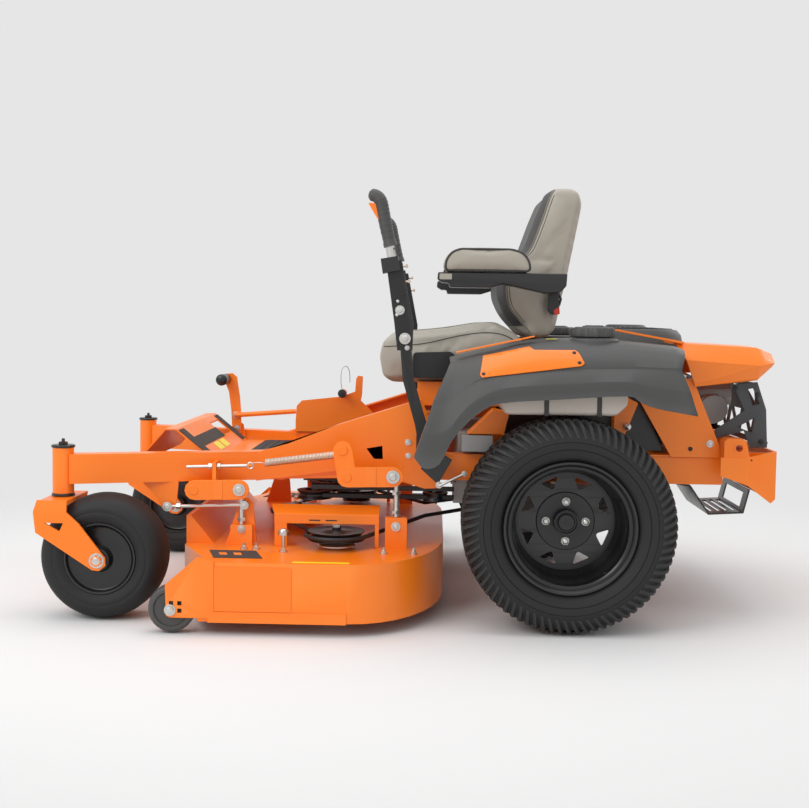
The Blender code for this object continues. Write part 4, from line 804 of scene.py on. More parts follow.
def laid(name, outline, tree, side, proud, thickness, finish, body):
    """A thin plate, cut to an XZ outline, that follows the skin behind it."""
    work = bmesh.new()
    work.faces.new([work.verts.new((x, 0.0, z)) for x, z in outline])
    for axis, low, high in ((0, -1.0, 1.0), (2, 0.0, 1.3)):
        step = 0.01
        for i in range(int((high - low) / step)):
            at = [0.0, 0.0, 0.0]
            at[axis] = low + step * i
            normal = [0.0, 0.0, 0.0]
            normal[axis] = 1.0
            if min(v.co[axis] for v in work.verts) < at[axis] < max(v.co[axis] for v in work.verts):
                geometry = work.verts[:] + work.edges[:] + work.faces[:]
                bmesh.ops.bisect_plane(work, geom=geometry, plane_co=at, plane_no=normal)
    for vertex in work.verts:
        hit, _, _, _ = tree.ray_cast(Vector((vertex.co.x, side * 0.9, vertex.co.z)) + SHIFT,
                Vector((0, -side, 0)))
        vertex.co.y = (hit.y - SHIFT.y if hit else side * 0.512) + side * proud
    shape = Shape()
    shape.work.free()
    shape.work = work
    plate = shape.done(name, finish, body, angle=30)
    if plate.data.polygons[0].normal.y * side < 0:
        plate.data.flip_normals()
    solid = plate.modifiers.new("sheet", "SOLIDIFY")
    solid.thickness = thickness
    solid.offset = 1.0
    edges = plate.modifiers.new("edges", "BEVEL")
    edges.width = 0.0006
    edges.segments = 2
    edges.limit_method = "ANGLE"
    return plate


TRIM = [(0.119, 0.663), (0.128, 0.71), (0.246, 0.736), (0.258, 0.728), (0.362, 0.729), (0.371, 0.722),
        (0.384, 0.697), (0.377, 0.69), (0.124, 0.657)]


def fender_trim(label, side, tree):
    laid(f"{label}_trim_plate", TRIM, tree, side, 0.0012, 0.0022, ORANGE, "chassis")
    bolts = Shape()
    for x, z in ((0.1285, 0.665), (0.359, 0.7215), (0.371, 0.6975)):
        at = surface_point(tree, (x, side * 0.9, z), (0, -side, 0), 0.003)
        bolts.dome(at, (0, side * 0.8, 0.6), 0.0052, 0.0026)
        bolts.rod(at, at + Vector((0, side * 0.0028, 0.0022)), 0.0026, 6)
    bolts.done(f"{label}_trim_bolts", BLACK, "chassis", angle=50)
    mark = Shape().prism([(0.292, -0.008), (0.32, -0.01), (0.326, 0.004), (0.3, 0.008)], 0.7565, 0.758,
            "Z")
    for vertex in mark.work.verts:
        vertex.co.y += side * 0.47
    mark.done(f"{label}_fuel_mark", YELLOW, "chassis", bevel=0.0003)
    rail = Shape().prism([(0.06, 0.7165), (0.12, 0.73), (0.245, 0.7575), (0.262, 0.762),
            (0.262, 0.7655), (0.242, 0.761), (0.118, 0.734), (0.058, 0.7205)], *span(side, 0.47, 0.5))
    rail.done(f"{label}_console_strip", ORANGE, "chassis", bevel=0.001)


def fuel_cap(label, side):
    x, y = 0.422, side * 0.45
    shape = Shape()
    rings = []
    for z, radius, lobe in ((0.7615, 0.04, 0), (0.7625, 0.045, 0), (0.7632, 0.05, 0.4),
            (0.765, 0.0535, 1), (0.769, 0.0545, 1), (0.785, 0.053, 1), (0.7885, 0.051, 1),
            (0.7905, 0.0455, 0.8), (0.7895, 0.04, 0.3), (0.789, 0.033, 0), (0.793, 0.03, 0),
            (0.7933, 0.01, 0)):
        ring = []
        for t in around(144):
            wave = max(0.0, math.cos(12 * t)) ** 0.5
            r = radius + lobe * (0.003 * wave - 0.001)
            ring.append(Vector((x + r * math.cos(t), y + r * math.sin(t), z)))
        rings.append(ring)
    shape.faces(rings)
    for turn in (0, 90):
        t = math.radians(turn + 20)
        a = Vector((math.cos(t), math.sin(t), 0)) * 0.026
        centre = Vector((x, y, 0.7928))
        shape.rod(centre - a, centre + a, 0.0022, 8)
    shape.done(f"{label}_fuel_cap_ribbed", GREY_PLASTIC, f"{label}_cap",
            stands_for=(f"{label}_fuel_cap",), slot="dark_plastic", angle=40)
    collar = Shape().lathe([(0.066, 0.742), (0.065, 0.756), (0.061, 0.7592), (0.052, 0.7605),
            (0.045, 0.76), (0.045, 0.742), (0.066, 0.742)], (x, y, 0), "Z", 64)
    collar.done(f"{label}_filler_collar", GREY_PLASTIC, "chassis", angle=35)


for label, side in SIDES.items():
    skin = fender(label, side)
    fender_trim(label, side, skin)
    fuel_cap(label, side)
    refine(f"{label}_fuel_tank", 0.012)
    straps = Shape()
    for x in (0.285, 0.42):
        straps.slab(side, (x, x + 0.012), (0.362, 0.5625), (0.56, 0.658))
    straps.done(f"{label}_tank_straps", BLACK, "chassis", bevel=0.0015)


# ---- Lap bars ---------------------------------------------------------------
def lap_bar(label, side):
    body = f"{label}_lever"
    y = side * 0.395
    line = smooth_path([(-0.1205, y, 0.9985), (-0.132, y, 1.045), (-0.142, y, 1.09), (-0.148, y, 1.116),
            (-0.159, side * 0.394, 1.131), (-0.18, side * 0.391, 1.137)], 6)
    count = len(line)
    radii = []
    for i in range(count):
        share = i / (count - 1)
        flare = 0.0012 * math.sin(share * math.pi) + (0.002 if i < 2 else 0.0)
        radii.append((0.0165 + flare) if i < count - 2 else 0.0135 - 0.005 * (i - count + 2))
    grip = Shape().tube(line, radii, 28)
    grip.done(f"{label}_grip_moulded", GREY_PLASTIC, body, stands_for=(f"{label}_lever_grip",),
            slot="dark_plastic", angle=45)
    grooves = Shape()
    for k in range(3, count - 10, 2):
        a, b = line[k], line[k + 1]
        direction = (b - a).normalized()
        grooves.rod(a - direction * 0.0012, a + direction * 0.0012, radii[k] + 0.0006, 28)
    grooves.done(f"{label}_grip_ribs", DARK_VINYL, body, angle=45)
    inset = Shape().prism(rounded([(-0.183, 1.114), (-0.15, 1.11), (-0.144, 1.068), (-0.156, 1.07)],
            0.006), *span(side, 0.386, 0.404))
    inset.done(f"{label}_grip_inset", ORANGE, body, bevel=0.003, segments=3)
    refine(f"{label}_lever_arm", 0.0012)
    metal = Shape()
    metal.rod((-0.116, y, 0.964), (-0.1222, y, 0.999), 0.0128, 24)
    out = side * 0.4012
    for x, z, r, proud in ((-0.093, 0.828, 0.0095, 0.0), (-0.072, 0.727, 0.005, 0.0075),
            (-0.078, 0.752, 0.0115, 0.0165)):
        metal.rod((x, out, z), (x, out + side * (proud + 0.0015), z), r * 0.8, 12)
        metal.bolt((x, out + side * proud, z), (0, side, 0), r, 0.005)
    for x, z in ((-0.099, 0.852), (-0.101, 0.815)):
        metal.dome((x, out, z), (0, side, 0), 0.0045, 0.002)
    metal.done(f"{label}_lever_bolts", ZINC, body, bevel=0.0004)
    wings = Shape()
    for x, z in ((-0.093, 0.945), (-0.086, 0.904)):
        wings.rod((x, y, z), (x + 0.02, y, z + 0.002), 0.0028, 10)
        wings.box((x + 0.014, y - 0.009, z - 0.003), (x + 0.019, y + 0.009, z + 0.007))
    wings.done(f"{label}_lever_wing_bolts", COPPERY, body, bevel=0.001)
    # Dark rubber-coloured discs fill the lever's holes: painted shade standing in for the dark inside of
    # each hole.
    slots = Shape()
    for x, z in ((-0.088, 0.87), (-0.064, 0.7), (-0.06, 0.672), (-0.055, 0.64), (-0.048, 0.6)):
        slots.rod((x, side * 0.3995, z), (x, side * 0.4091, z), 0.0032, 14)
    slots.done(f"{label}_lever_hole_painted_shade", TYRE, body)
    refine(f"{label}_lever_pivot", 0.002)


for label, side in SIDES.items():
    lap_bar(label, side)


# ---- Frame, lift and deck fasteners ----------------------------------------
def bolts(name, finish, body, entries, bevel=0.0005):
    """Entries are (x, z, y, radius): hexagon heads that face outwards, on both sides."""
    shape = Shape()
    for side in SIDES.values():
        for x, z, y, radius in entries:
            shape.bolt((x, side * y, z), (0, side, 0), radius, radius * 0.6)
    shape.done(name, finish, body, bevel=bevel)


bolts("drag_pivot_bolts", ZINC, "chassis", [(-0.714, 0.289, 0.4312, 0.0098)])
bolts("riser_bolts", ZINC, "chassis", [(-0.067, 0.466, 0.3422, 0.0065), (-0.066, 0.429, 0.3422, 0.006)])
bolts("upright_bolts", ZINC, "chassis", [(0.76, 0.476, 0.3432, 0.0075)])
bolts("upright_studs", BLACK, "chassis", [(0.707, 0.461, 0.3432, 0.0045), (0.86, 0.438, 0.3912, 0.0035)])
bolts("front_arm_bolts", ZINC, "front_lift_shaft", [(-0.518, 0.339, 0.4403, 0.0125)])
bolts("rear_arm_bolts", ZINC, "rear_lift_shaft", [(-0.104, 0.381, 0.4403, 0.0135)])
bolts("hanger_bolts", ZINC, "deck", [(-0.513, 0.231, 0.4283, 0.0085), (-0.095, 0.245, 0.4283, 0.0095)])
bolts("roller_bolts", ZINC, "deck", [(-0.655, 0.0625, 0.6645, 0.011)])


def arm_bosses(body, pivot, end, extra=()):
    """The pressed rings and the lighter welded band on a lift arm's plates."""
    shape = Shape()
    for side in SIDES.values():
        for x, z in (pivot, *extra):
            shape.rod((x, side * 0.4392, z), (x, side * 0.4418, z), 0.014, 28, 0.0125)
        middle = pivot[0] + (end[0] - pivot[0]) * 0.52
        ys = span(side, 0.4392, 0.4414)
        shape.box((middle - 0.0145, ys[0], end[1] - 0.0265), (middle + 0.0145, ys[1], end[1] + 0.0265))
    shape.done(f"{body}_bosses", ORANGE, body, bevel=0.0008)


arm_bosses("front_lift_shaft", (-0.641, 0.336), (-0.518, 0.338))
arm_bosses("rear_lift_shaft", (-0.228, 0.378), (-0.104, 0.38), ((-0.24, 0.45),))


def hangers():
    """Threaded zinc rods with their nuts, from the deck's brackets to the lift arms."""
    shape = Shape()
    for side in SIDES.values():
        for x, low, high, nuts in ((-0.515, 0.243, 0.3415, (0.252, 0.322)),
                (-0.095, 0.27, 0.384, (0.278, 0.33))):
            shape.rod((x, side * HANGER_ROD_Y, low), (x, side * HANGER_ROD_Y, high), 0.0074, 20)
            for k in range(int((high - low) / 0.004)):
                z = low + 0.004 * k
                shape.rod((x, side * HANGER_ROD_Y, z), (x, side * HANGER_ROD_Y, z + 0.0016), 0.0079, 16)
            for z in nuts:
                shape.rod((x, side * HANGER_ROD_Y, z), (x, side * HANGER_ROD_Y, z + 0.009), 0.0125, 6)
        for x, z in ((-0.499, 0.186), (-0.467, 0.186), (-0.39, 0.186), (-0.124, 0.186), (-0.045, 0.186)):
            y = side * (0.47 if x < -0.41 else 0.5)
            shape.bolt((x, y, z), (0, 0, 1), 0.008, 0.006)
            shape.rod((x, y, z), (x, y, z + 0.016), 0.004, 12)
        shape.rod((-0.39, side * 0.5, 0.19), (-0.39, side * 0.5, 0.244), 0.005, 16)
        shape.rod((-0.39, side * 0.5, 0.23), (-0.39, side * 0.5, 0.24), 0.0145, 20)
        shape.dome((-0.39, side * 0.5, 0.24), (0, 0, 1), 0.0125, 0.008)
    shape.done("hanger_rods", ZINC, "deck", bevel=0.0004)


COIL_R = 0.0092


def assist_spring():
    """The coil between the eyebolt and the rear arm's ear, with its hooked ends."""
    start, end = Vector((-0.451, -HANGER_Y, 0.411)), Vector((-0.262, -HANGER_Y, 0.436))
    axis = (end - start).normalized()
    a, b = ring_frame(axis)
    turns, steps = 50, 12
    coil = [Vector((-0.487, -HANGER_Y, 0.3965)), Vector((-0.492, -HANGER_Y, 0.403)),
            Vector((-0.486, -HANGER_Y, 0.4105)), Vector((-0.466, -HANGER_Y, 0.4115))]
    for i in range(turns * steps + 1):
        t = 2 * math.pi * i / steps
        along = start + (end - start) * i / (turns * steps)
        coil.append(along + (a * math.cos(t) + b * math.sin(t)) * COIL_R)
    coil += [Vector((-0.256, -HANGER_Y, 0.44)), Vector((-0.243, -HANGER_Y, 0.445)),
            Vector((-0.238, -HANGER_Y - 0.008, 0.45))]
    spring = Shape().tube(coil, 0.00165, 6)
    obj = spring.done("assist_spring_coil", COPPERY, "chassis", stands_for=("lift_spring",),
            slot="spring_steel", angle=60)
    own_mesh(obj)
    eye = Shape()
    eye.tube([(-0.664, -HANGER_Y, 0.397), (-0.5, -HANGER_Y, 0.4026)], 0.0046, 14)
    loop = [(-0.491 + 0.008 * math.cos(t), -HANGER_Y, 0.403 + 0.008 * math.sin(t)) for t in around(20)]
    eye.tube(loop, 0.0024, 8, closed=True)
    eye.rod((-0.604, -HANGER_Y, 0.399), (-0.5935, -HANGER_Y, 0.3994), 0.01, 6)
    eye.rod((-0.58, -HANGER_Y, 0.3999), (-0.571, -HANGER_Y, 0.4002), 0.009, 6)
    eye.done("spring_eyebolt", ZINC, "chassis", bevel=0.0004)


def deck_marks():
    """Grip pads, plain strips and the overlapping plates on the deck's skin."""
    for label, side in SIDES.items():
        pad = Shape().prism([(-0.586, side * 0.5), (-0.462, side * 0.5), (-0.431, side * 0.6),
                (-0.557, side * 0.6)], 0.185, 0.1868, "Z")
        pad.done(f"{label}_deck_grip_pad", GRIP, "deck", bevel=0.0005)
        panes = Shape()
        for x in (-0.545, -0.507):
            panes.prism([(x - 0.01, side * 0.535), (x + 0.01, side * 0.535), (x + 0.018, side * 0.565),
                    (x - 0.002, side * 0.565)], 0.186, 0.1872, "Z")
        panes.done(f"{label}_deck_pad_panes", ORANGE, "deck")
    strip = Shape().prism([(-0.349, -0.646), (-0.205, -0.646), (-0.205, -0.636), (-0.349, -0.636)],
            0.185, 0.1866, "Z")
    strip.done("deck_edge_strip", YELLOW, "deck", bevel=0.0004)
    skirt = Shape().cutout(rounded([(-0.573, 0.061), (-0.573, 0.174), (-0.349, 0.174), (-0.349, 0.061)],
            0.003), [], -0.6622, -0.6595)
    skirt.done("deck_side_plate", ORANGE, "deck", bevel=0.0008)


def turned_spindle(label, x, y):
    """A pulley, its hub and the blade below it."""
    shape = Shape()
    shape.lathe([(0.0, 0.2405), (0.009, 0.2405), (0.012, 0.239), (0.012, 0.233), (0.03, 0.2318),
            (0.052, 0.2285), (0.07, 0.2312), (0.077, 0.2312), (0.077, 0.2295), (0.067, 0.219),
            (0.077, 0.2085), (0.077, 0.2068), (0.05, 0.206), (0.0, 0.206)], (x, y, 0), "Z", 64)
    shape.lathe([(0.0, 0.2055), (0.03, 0.2055), (0.048, 0.2), (0.052, 0.194), (0.052, 0.1905),
            (0.0215, 0.19), (0.0215, 0.08), (0.03, 0.076), (0.03, 0.0675), (0.0, 0.0675)], (x, y, 0),
            "Z", 48, m=1)
    shape.rod((x, y, 0.24), (x, y, 0.247), 0.0105, 6, m=1)
    half = 0.22
    for flip in (1, -1):
        section = [(-0.028, 0.0622), (0.028 * 0.4, 0.0622), (0.028, 0.06), (0.0282, 0.0612),
                (0.028 * 0.4, 0.068), (-0.028, 0.068)]
        tip = [(-0.028, 0.0622), (0.01, 0.0622), (0.023, 0.066), (0.0232, 0.07), (0.01, 0.068),
                (-0.028, 0.07)]
        shape.faces([[Vector((x + u * flip, y + v * flip, z)) for u, z in ring] for v,
                ring in ((0.0, section), (half - 0.05, section), (half, tip))], m=1)
    shape.bolt((x, y, 0.0622), (0, 0, -1), 0.014, 0.009, m=1)
    shape.done(f"{label}_spindle_turned", [BLACK, ZINC], f"{label}_blade",
            stands_for=(f"{label}_spindle",), slot="zinc", angle=32)


def scalp_roller(label, side):
    r = 0.06
    shape = Shape().lathe([(0.008, side * 0.6075), (0.02, side * 0.6075), (0.022, side * 0.612),
            (0.042, side * 0.612), (0.045, side * 0.6075), (r * 0.86, side * 0.6078),
            (r * 0.97, side * 0.613), (r, side * 0.621), (r, side * 0.643), (r * 0.97, side * 0.651),
            (r * 0.86, side * 0.6562), (0.045, side * 0.6565), (0.042, side * 0.652),
            (0.022, side * 0.652), (0.02, side * 0.6565), (0.008, side * 0.6565),
            (0.008, side * 0.6075)], (-0.655, 0, 0.0625), "Y", 64)
    shape.done(f"{label}_roller_turned", GREY_PLASTIC, f"{label}_scalp_roller",
            stands_for=(f"{label}_roller",), slot="dark_plastic", angle=35)


def belt_cover(label, side):
    """A folded cover: a front band on two legs, a slope and a narrow top."""
    section = [(0.4225, 0.248), (0.4225, 0.2745), (0.364, 0.2905), (0.349, 0.2905), (0.349, 0.2875),
            (0.3635, 0.2875), (0.419, 0.2722), (0.419, 0.248)]
    shape = Shape()
    front = [(-0.44 if y < 0.4 else -0.4245, side * y, z) for y, z in section]
    shape.faces([front, [(-0.1405, side * y, z) for y, z in section]])
    shape.slab(side, (-0.424, -0.39), (0.4187, 0.4222), (0.1854, 0.249))
    shape.slab(side, (-0.152, -0.141), (0.4187, 0.4222), (0.1854, 0.249))
    shape.done(f"{label}_belt_cover_folded", ORANGE, "deck", bevel=0.0012,
            stands_for=(f"{label}_belt_cover",), slot="orange_coat")
    # Thin dark plates on the cover's face: painted shade standing in for the dark inside of the slots.
    slots = Shape()
    for x in (-0.33, -0.285):
        slots.slab(side, (x, x + 0.03), (0.422, 0.4228), (0.256, 0.2595))
    slots.done(f"{label}_belt_cover_slot_painted_shade", TYRE, "deck")


hangers()
assist_spring()
for label, side in SIDES.items():
    belt_cover(label, side)
deck_marks()
for label, (x, y) in {"left": (-0.256, -0.42), "center": (-0.405, 0.0), "right": (-0.256, 0.42)}.items():
    turned_spindle(label, x, y)
for label, side in SIDES.items():
    scalp_roller(label, side)


def belt():
    """The deck belt, on a mesh of its own."""
    obj = refine("deck_belt", 0.0)
    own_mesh(obj)


belt()


# ---- Foot platform and lift linkage ----------------------------------------
def on_slope(u, lift):
    """A point on the foot rest's slope, u metres down from its top edge."""
    return (-0.717 + 0.774 * u + 0.633 * lift, 0.4888 - 0.633 * u + 0.774 * lift)


def slope_pad(shape, u, y, thickness=0.0016):
    outline = [on_slope(u[0], 0), on_slope(u[1], 0), on_slope(u[1], thickness), on_slope(u[0], thickness)]
    shape.prism(outline, y[0], y[1])


def platform_details():
    grip = Shape()
    slope_pad(grip, (0.006, 0.126), (-0.3, -0.235))
    slope_pad(grip, (0.045, 0.085), (-0.2352, 0.098))
    slope_pad(grip, (0.006, 0.126), (0.244, 0.3))
    grip.done("platform_grip_pads", GRIP, "chassis", bevel=0.0005)
    marks = Shape()
    slope_pad(marks, (0.09, 0.12), (-0.12, -0.05))
    slope_pad(marks, (0.09, 0.12), (-0.03, 0.04))
    marks.done("platform_yellow_marks", YELLOW, "chassis", bevel=0.0004)
    floor_mat = Shape().prism(rounded([(-0.545, -0.255), (-0.11, -0.255), (-0.11, 0.255),
            (-0.545, 0.255)], 0.02), 0.4055, 0.4085, "Z")
    for i in range(18):
        x = -0.53 + 0.0235 * i
        floor_mat.box((x, -0.245, 0.4083), (x + 0.01, 0.245, 0.4098))
    floor_mat.done("floor_mat", TYRE, "chassis", bevel=0.0008)
    bracket = Shape().prism([(-0.672, 0.412), (-0.622, 0.412), (-0.628, 0.452), (-0.64, 0.462),
            (-0.66, 0.455)], 0.3225, 0.3275)
    bracket.box((-0.672, 0.29, 0.408), (-0.622, 0.3275, 0.4125))
    bracket.done("pedal_bracket", ORANGE, "chassis", bevel=0.001)
    pedal = Shape()
    pedal.rod((-0.686, 0.226, 0.603), (-0.686, 0.25, 0.603), 0.0185, 32)
    pedal.dome((-0.686, 0.2262, 0.603), (0, -1, 0), 0.018, 0.006)
    pedal.rod((-0.686, 0.25, 0.603), (-0.686, 0.312, 0.603), 0.0172, 32)
    pedal.done("pedal_peg_cap", BLACK, "pedal", bevel=0.0015)
    pins = Shape()
    pins.bolt((-0.652, 0.3125, 0.484), (0, -1, 0), 0.009, 0.006)
    pins.bolt((-0.649, 0.3125, 0.439), (0, -1, 0), 0.0085, 0.006)
    pins.done("pedal_bolts", ZINC, "pedal", bevel=0.0005)


def height_pin():
    shape = Shape()
    shape.tube([(-0.293, 0.292, 0.566), (-0.293, 0.236, 0.566)], 0.005, 20)
    shape.lathe([(0.0, 0.24), (0.0092, 0.24), (0.0105, 0.23), (0.014, 0.212), (0.0135, 0.2085),
            (0.0, 0.2078)], (-0.293, 0, 0.566), "Y", 32)
    shape.done("height_pin_knob", BLACK, "height_stop", stands_for=("height_pin",), slot="black_steel",
            angle=35)
    loop = smooth_path([(-0.293, 0.252, 0.566), (-0.3, 0.25, 0.6), (-0.298, 0.252, 0.64),
            (-0.284, 0.256, 0.653), (-0.274, 0.262, 0.636), (-0.272, 0.2685, 0.6)], 8)
    wire = Shape().tube(loop, 0.0011, 8)
    wire.done("height_pin_wire", STEEL, "height_stop", angle=60)


def linkage_details():
    """Drive-belt runs, idlers and brackets in the space above the deck."""
    strands = Shape()
    for z, y in ((0.337, -0.333), (0.31, -0.306)):
        outline = [(-0.335, z - 0.0065), (0.062, z - 0.0065), (0.062, z + 0.0065), (-0.335, z + 0.0065)]
        strands.prism(outline, y - 0.006, y + 0.006)
    strands.done("drive_belt_runs", HOSE, "chassis", bevel=0.002)
    idlers = Shape()
    for x, y, z, r in ((-0.33, -0.276, 0.31, 0.05), (-0.236, -0.284, 0.337, 0.044),
            (-0.3, -0.18, 0.322, 0.056), (0.01, -0.29, 0.31, 0.036)):
        idlers.lathe([(0.0, z - 0.012), (r, z - 0.012), (r, z - 0.01), (r * 0.86, z - 0.002),
                (r * 0.86, z + 0.002), (r, z + 0.01), (r, z + 0.012), (r * 0.6, z + 0.013),
                (r * 0.5, z + 0.008), (0.0, z + 0.008)], (x, y, 0), "Z", 48)
        idlers.rod((x, y, z + 0.006), (x, y, z + 0.018), 0.009, 6, m=1)
    idlers.prism([(-0.36, -0.3), (-0.2, -0.31), (-0.195, -0.285), (-0.355, -0.262)], 0.3505, 0.3545, "Z")
    idlers.done("drive_idlers", [BLACK, ZINC], "chassis", bevel=0.0008)
    for label, side in SIDES.items():
        tip = Shape().prism([(-0.031, 0.4), (0.017, 0.357), (0.054, 0.425), (0.01, 0.452)],
                *span(side, 0.3895, 0.3935))
        tip.slab(side, (-0.012, 0.02), (0.342, 0.39), (0.398, 0.402))
        tip.done(f"{label}_fender_stay", BLACK, "chassis", bevel=0.001)
        rod = Shape().rod((0.02, side * 0.4, 0.354), (0.088, side * 0.4, 0.388), 0.0035, 12)
        rod.bolt((0.02, side * 0.394, 0.356), (0, side, 0), 0.007, 0.006)
        rod.bolt((0.088, side * 0.396, 0.388), (0, side, 0), 0.006, 0.006)
        rod.done(f"{label}_control_link", ZINC, "chassis", bevel=0.0004)
        refine(f"{label}_drag_link", 0.001)
        nuts = Shape()
        nuts.rod((-0.69, side * 0.4258, 0.2898), (-0.678, side * 0.4258, 0.2902), 0.0092, 6)
        nuts.bolt((-0.505, side * 0.4303, 0.296), (0, side, 0), 0.0085, 0.006)
        nuts.done(f"{label}_drag_nuts", ZINC, f"{label}_drag_rod", bevel=0.0004)


platform_details()
height_pin()
linkage_details()


# ---- Engine and tail --------------------------------------------------------
def engine_details():
    shroud = Shape().lathe([(0.0, 0.8), (0.05, 0.8), (0.056, 0.7985), (0.062, 0.793), (0.078, 0.79),
            (0.14, 0.787), (0.152, 0.7845), (0.164, 0.77), (0.172, 0.735), (0.1755, 0.7),
            (0.176, 0.6605), (0.169, 0.6605), (0.166, 0.73), (0.145, 0.777), (0.0, 0.782)],
            (ENGINE_X, 0, 0), "Z", 72)
    shroud.done("engine_shroud_moulded", GREY_PLASTIC, "chassis", stands_for=("engine_shroud",),
            slot="dark_plastic", angle=30)
    grille = Shape()
    for t in around(40):
        c, s = math.cos(t), math.sin(t)
        grille.tube([(ENGINE_X + 0.082 * c, 0.082 * s, 0.7905), (ENGINE_X + 0.135 * c, 0.135 * s,
                0.788)], 0.0016, 6)
    for r, z in ((0.082, 0.7905), (0.108, 0.7892), (0.136, 0.788)):
        ring = [(ENGINE_X + r * math.cos(t), r * math.sin(t), z) for t in around(60)]
        grille.tube(ring, 0.002, 6, closed=True)
    grille.done("intake_grille", BLACK, "chassis", angle=60)
    refine("engine_block", 0.003)
    fins = Shape()
    for side in SIDES.values():
        for i in range(9):
            z = 0.488 + 0.0145 * i
            ys = span(side, 0.108, 0.2385)
            fins.box((0.4965, ys[0], z), (0.7035, ys[1], z + 0.004))
        fins.rod((0.64, side * 0.236, 0.52), (0.64, side * 0.262, 0.52), 0.012, 20)
    fins.done("cylinder_fins", CAST, "chassis", bevel=0.0006)
    trim = Shape()
    trim.rod((0.712, -0.215, 0.56), (0.722, -0.215, 0.65), 0.011, 20)
    trim.rod((0.722, -0.215, 0.65), (0.69, -0.18, 0.664), 0.011, 20)
    trim.rod((0.742, -0.15, 0.575), (0.744, -0.15, 0.645), 0.017, 24)
    trim.rod((0.744, -0.15, 0.64), (0.744, -0.15, 0.652), 0.02, 24)
    trim.box((0.7, -0.262, 0.59), (0.735, -0.236, 0.642))
    trim.done("engine_fittings", STEEL, "chassis", bevel=0.0012)
    oil = Shape().lathe([(0.0, 0.0), (0.031, 0.0), (0.034, 0.006), (0.034, 0.072), (0.028, 0.08),
            (0.0, 0.08)], (0.64, -0.262, 0.47), "Z", 40)
    oil.done("oil_filter", BLACK, "chassis")
    heat = Shape()
    for i in range(13):
        y = -0.15 + 0.025 * i
        heat.lathe([(0.0395, -0.004), (0.0425, -0.002), (0.0425, 0.002), (0.0395, 0.004),
                (0.0395, -0.004)], (0.8085, y, 0.56), "Y", 36)
    heat.done("muffler_beads", STEEL, "chassis")


def tail_details():
    guard = Shape()
    for side in SIDES.values():
        for x, z in ((0.91, 0.48), (0.895, 0.61), (0.835, 0.628)):
            guard.bolt((x, side * 0.301, z), (0, side, 0), 0.0055, 0.003)
    for y in (-0.27, -0.09, 0.09, 0.27):
        guard.bolt((0.9305, y, 0.474), (1, 0, 0), 0.0055, 0.003)
    guard.done("guard_bolts", BLACK, "chassis", bevel=0.0004)
    ears = Shape()
    for side in SIDES.values():
        for y in (0.3452, 0.3978):
            ears.lathe([(0.0098, -0.0016), (0.015, -0.0016), (0.015, 0.0016), (0.0098, 0.0016),
                    (0.0098, -0.0016)], (0.826, side * y, 0.47), "Y", 32)
    ears.done("bumper_ear_rings", ORANGE, "chassis", bevel=0.0004)
    # A thin black sheet inside each wheel arch, under the fender and behind the frame members, is painted
    # shade.
    dark = Shape()
    for side in SIDES.values():
        dark.prism([(0.44, 0.45), (0.64, 0.45), (0.575, 0.6), (0.54, 0.66), (0.3, 0.66), (0.3, 0.59)],
                *span(side, 0.3, 0.304))
    dark.done("arch_painted_shade_panels", BLACK, "chassis", bevel=0.001)
    members = Shape()
    for side in SIDES.values():
        ys = span(side, 0.305, 0.352)
        members.prism([(0.495, 0.546), (0.53, 0.6), (0.56, 0.585), (0.515, 0.47), (0.495, 0.47)], *ys)
        ys = span(side, 0.276, 0.352)
        members.prism([(0.095, 0.4925), (0.166, 0.561), (0.21, 0.553), (0.196, 0.4925)], *ys)
    members.done("arch_members", ORANGE, "chassis", bevel=0.0015)
    knobs = Shape()
    for side in SIDES.values():
        knobs.rod((0.532, side * 0.352, 0.52), (0.532, side * 0.362, 0.52), 0.0095, 20)
        knobs.dome((0.532, side * 0.362, 0.52), (0, side, 0), 0.0095, 0.006)
    knobs.done("arch_bolts", ZINC, "chassis")
    for label in SIDES:
        refine(f"{label}_transaxle", 0.003)
    refine("clutch_pulley", 0.001)
    refine("pto_knob", 0.0)
    refine("discharge_chute", 0.0022)
    ribs = Shape()
    for x in (-0.33, -0.25, -0.17, -0.09, -0.03):
        line = smooth_path([(x, 0.7, 0.179), (x, 0.78, 0.1535), (x, 0.83, 0.1275), (x, 0.866, 0.1045)], 4)
        ribs.tube(line, 0.004, 10)
    ribs.done("chute_ribs", GREY_PLASTIC, "chute", angle=50)


engine_details()
tail_details()


# ---- Stage ------------------------------------------------------------------
def floor():
    """A pale round floor that fades out before its edge."""
    material = bpy.data.materials.new("floor_paper")
    material.use_nodes = True
    tree = material.node_tree
    shader = tree.nodes["Principled BSDF"]
    shader.inputs["Base Color"].default_value = (0.8, 0.8, 0.8, 1)
    shader.inputs["Roughness"].default_value = 0.9
    shader.inputs["Specular IOR Level"].default_value = 0.1
    place = tree.nodes.new("ShaderNodeTexCoord")
    distance = tree.nodes.new("ShaderNodeVectorMath")
    distance.operation = "LENGTH"
    fade = tree.nodes.new("ShaderNodeMapRange")
    fade.interpolation_type = "SMOOTHSTEP"
    fade.inputs["From Min"].default_value = 1.1
    fade.inputs["From Max"].default_value = 2.6
    clear = tree.nodes.new("ShaderNodeBsdfTransparent")
    blend = tree.nodes.new("ShaderNodeMixShader")
    output = tree.nodes["Material Output"]
    links(material, ((place, "Object"), (distance, 0)), ((distance, "Value"), (fade, "Value")),
            ((fade, "Result"), (blend, 0)), ((shader, 0), (blend, 1)), ((clear, 0), (blend, 2)),
            ((blend, 0), (output, "Surface")))
    work = bmesh.new()
    bmesh.ops.create_circle(work, cap_ends=True, segments=96, radius=3.0)
    mesh = bpy.data.meshes.new("floor")
    work.to_mesh(mesh)
    work.free()
    mesh.materials.append(material)
    disc = bpy.data.objects.new("floor", mesh)
    disc.location.z = -0.0015
    bpy.context.scene.collection.objects.link(disc)


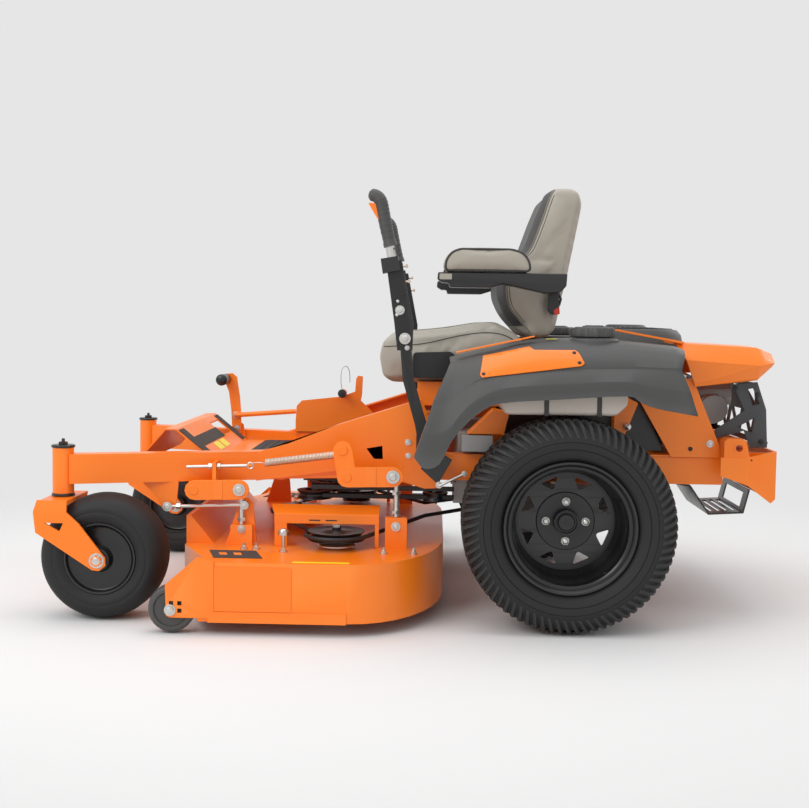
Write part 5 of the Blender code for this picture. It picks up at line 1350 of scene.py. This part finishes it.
def area_light(name, place, target, size, power):
    lamp = bpy.data.lights.new(name, "AREA")
    lamp.shape = "RECTANGLE"
    lamp.size, lamp.size_y = size
    lamp.energy = power
    obj = bpy.data.objects.new(name, lamp)
    obj.location = place
    obj.rotation_euler = (Vector(target) - Vector(place)).to_track_quat("-Z", "Y").to_euler()
    obj.visible_camera = False
    bpy.context.scene.collection.objects.link(obj)


def studio():
    world = bpy.data.worlds.new("studio")
    bpy.context.scene.world = world
    world.use_nodes = True
    world.node_tree.nodes["Background"].inputs["Color"].default_value = (0.79, 0.79, 0.79, 1)
    area_light("overhead", (0.0, -0.3, 3.4), (0.0, 0.0, 0.3), (3.6, 2.6), 40)
    area_light("key", (-2.2, -3.0, 2.6), (0.0, 0.0, 0.5), (2.0, 1.6), 46)
    area_light("rear", (2.6, 2.4, 2.4), (0.2, 0.0, 0.6), (2.0, 1.6), 18)
    bpy.context.scene.view_settings.view_transform = "Standard"


CAMERA_PLACE = (0.0, -3.619, 0.784)
CAMERA_YAW = 0.02394
CAMERA_PITCH = 0.0647
CAMERA_ROLL = 0.01462


def camera():
    lens = bpy.data.cameras.new("camera")
    lens.lens = 53.13
    lens.sensor_width = 36.0
    yaw, pitch, roll = CAMERA_YAW, CAMERA_PITCH, CAMERA_ROLL
    forward = Vector((-math.sin(yaw) * math.cos(pitch), math.cos(yaw) * math.cos(pitch),
            -math.sin(pitch)))
    right = Vector((math.cos(yaw), math.sin(yaw), 0.0))
    up = right.cross(forward)
    tilted_right = right * math.cos(roll) + up * math.sin(roll)
    tilted_up = up * math.cos(roll) - right * math.sin(roll)
    turn = Matrix((tilted_right, tilted_up, -forward)).transposed()
    obj = bpy.data.objects.new("camera", lens)
    obj.matrix_world = Matrix.Translation(Vector(CAMERA_PLACE) + SHIFT) @ turn.to_4x4()
    bpy.context.scene.collection.objects.link(obj)
    bpy.context.scene.camera = obj


# ---- Pressed and welded parts, then the floor, lights and camera -------------
PLAIN = {  # node and the width of its rounded edges
    "left_frame_rail": 0.0016, "right_frame_rail": 0.0016, "foot_platform": 0.0016, "rear_frame": 0.0016,
    "rear_bumper": 0.002, "rear_guard": 0.001, "step_plate": 0.0012, "rear_cowl": 0.0018,
    "left_caster_fork": 0.0016, "right_caster_fork": 0.0016, "seat_base": 0.003,
    "front_lift_arms": 0.0016, "rear_lift_arms": 0.0016, "lift_pedal": 0.0016, "lift_link": 0.0012,
    "height_plate": 0.0014, "deck_shell": 0.002,
}
for name, width in PLAIN.items():
    refine(name, width)

floor()
studio()
camera()
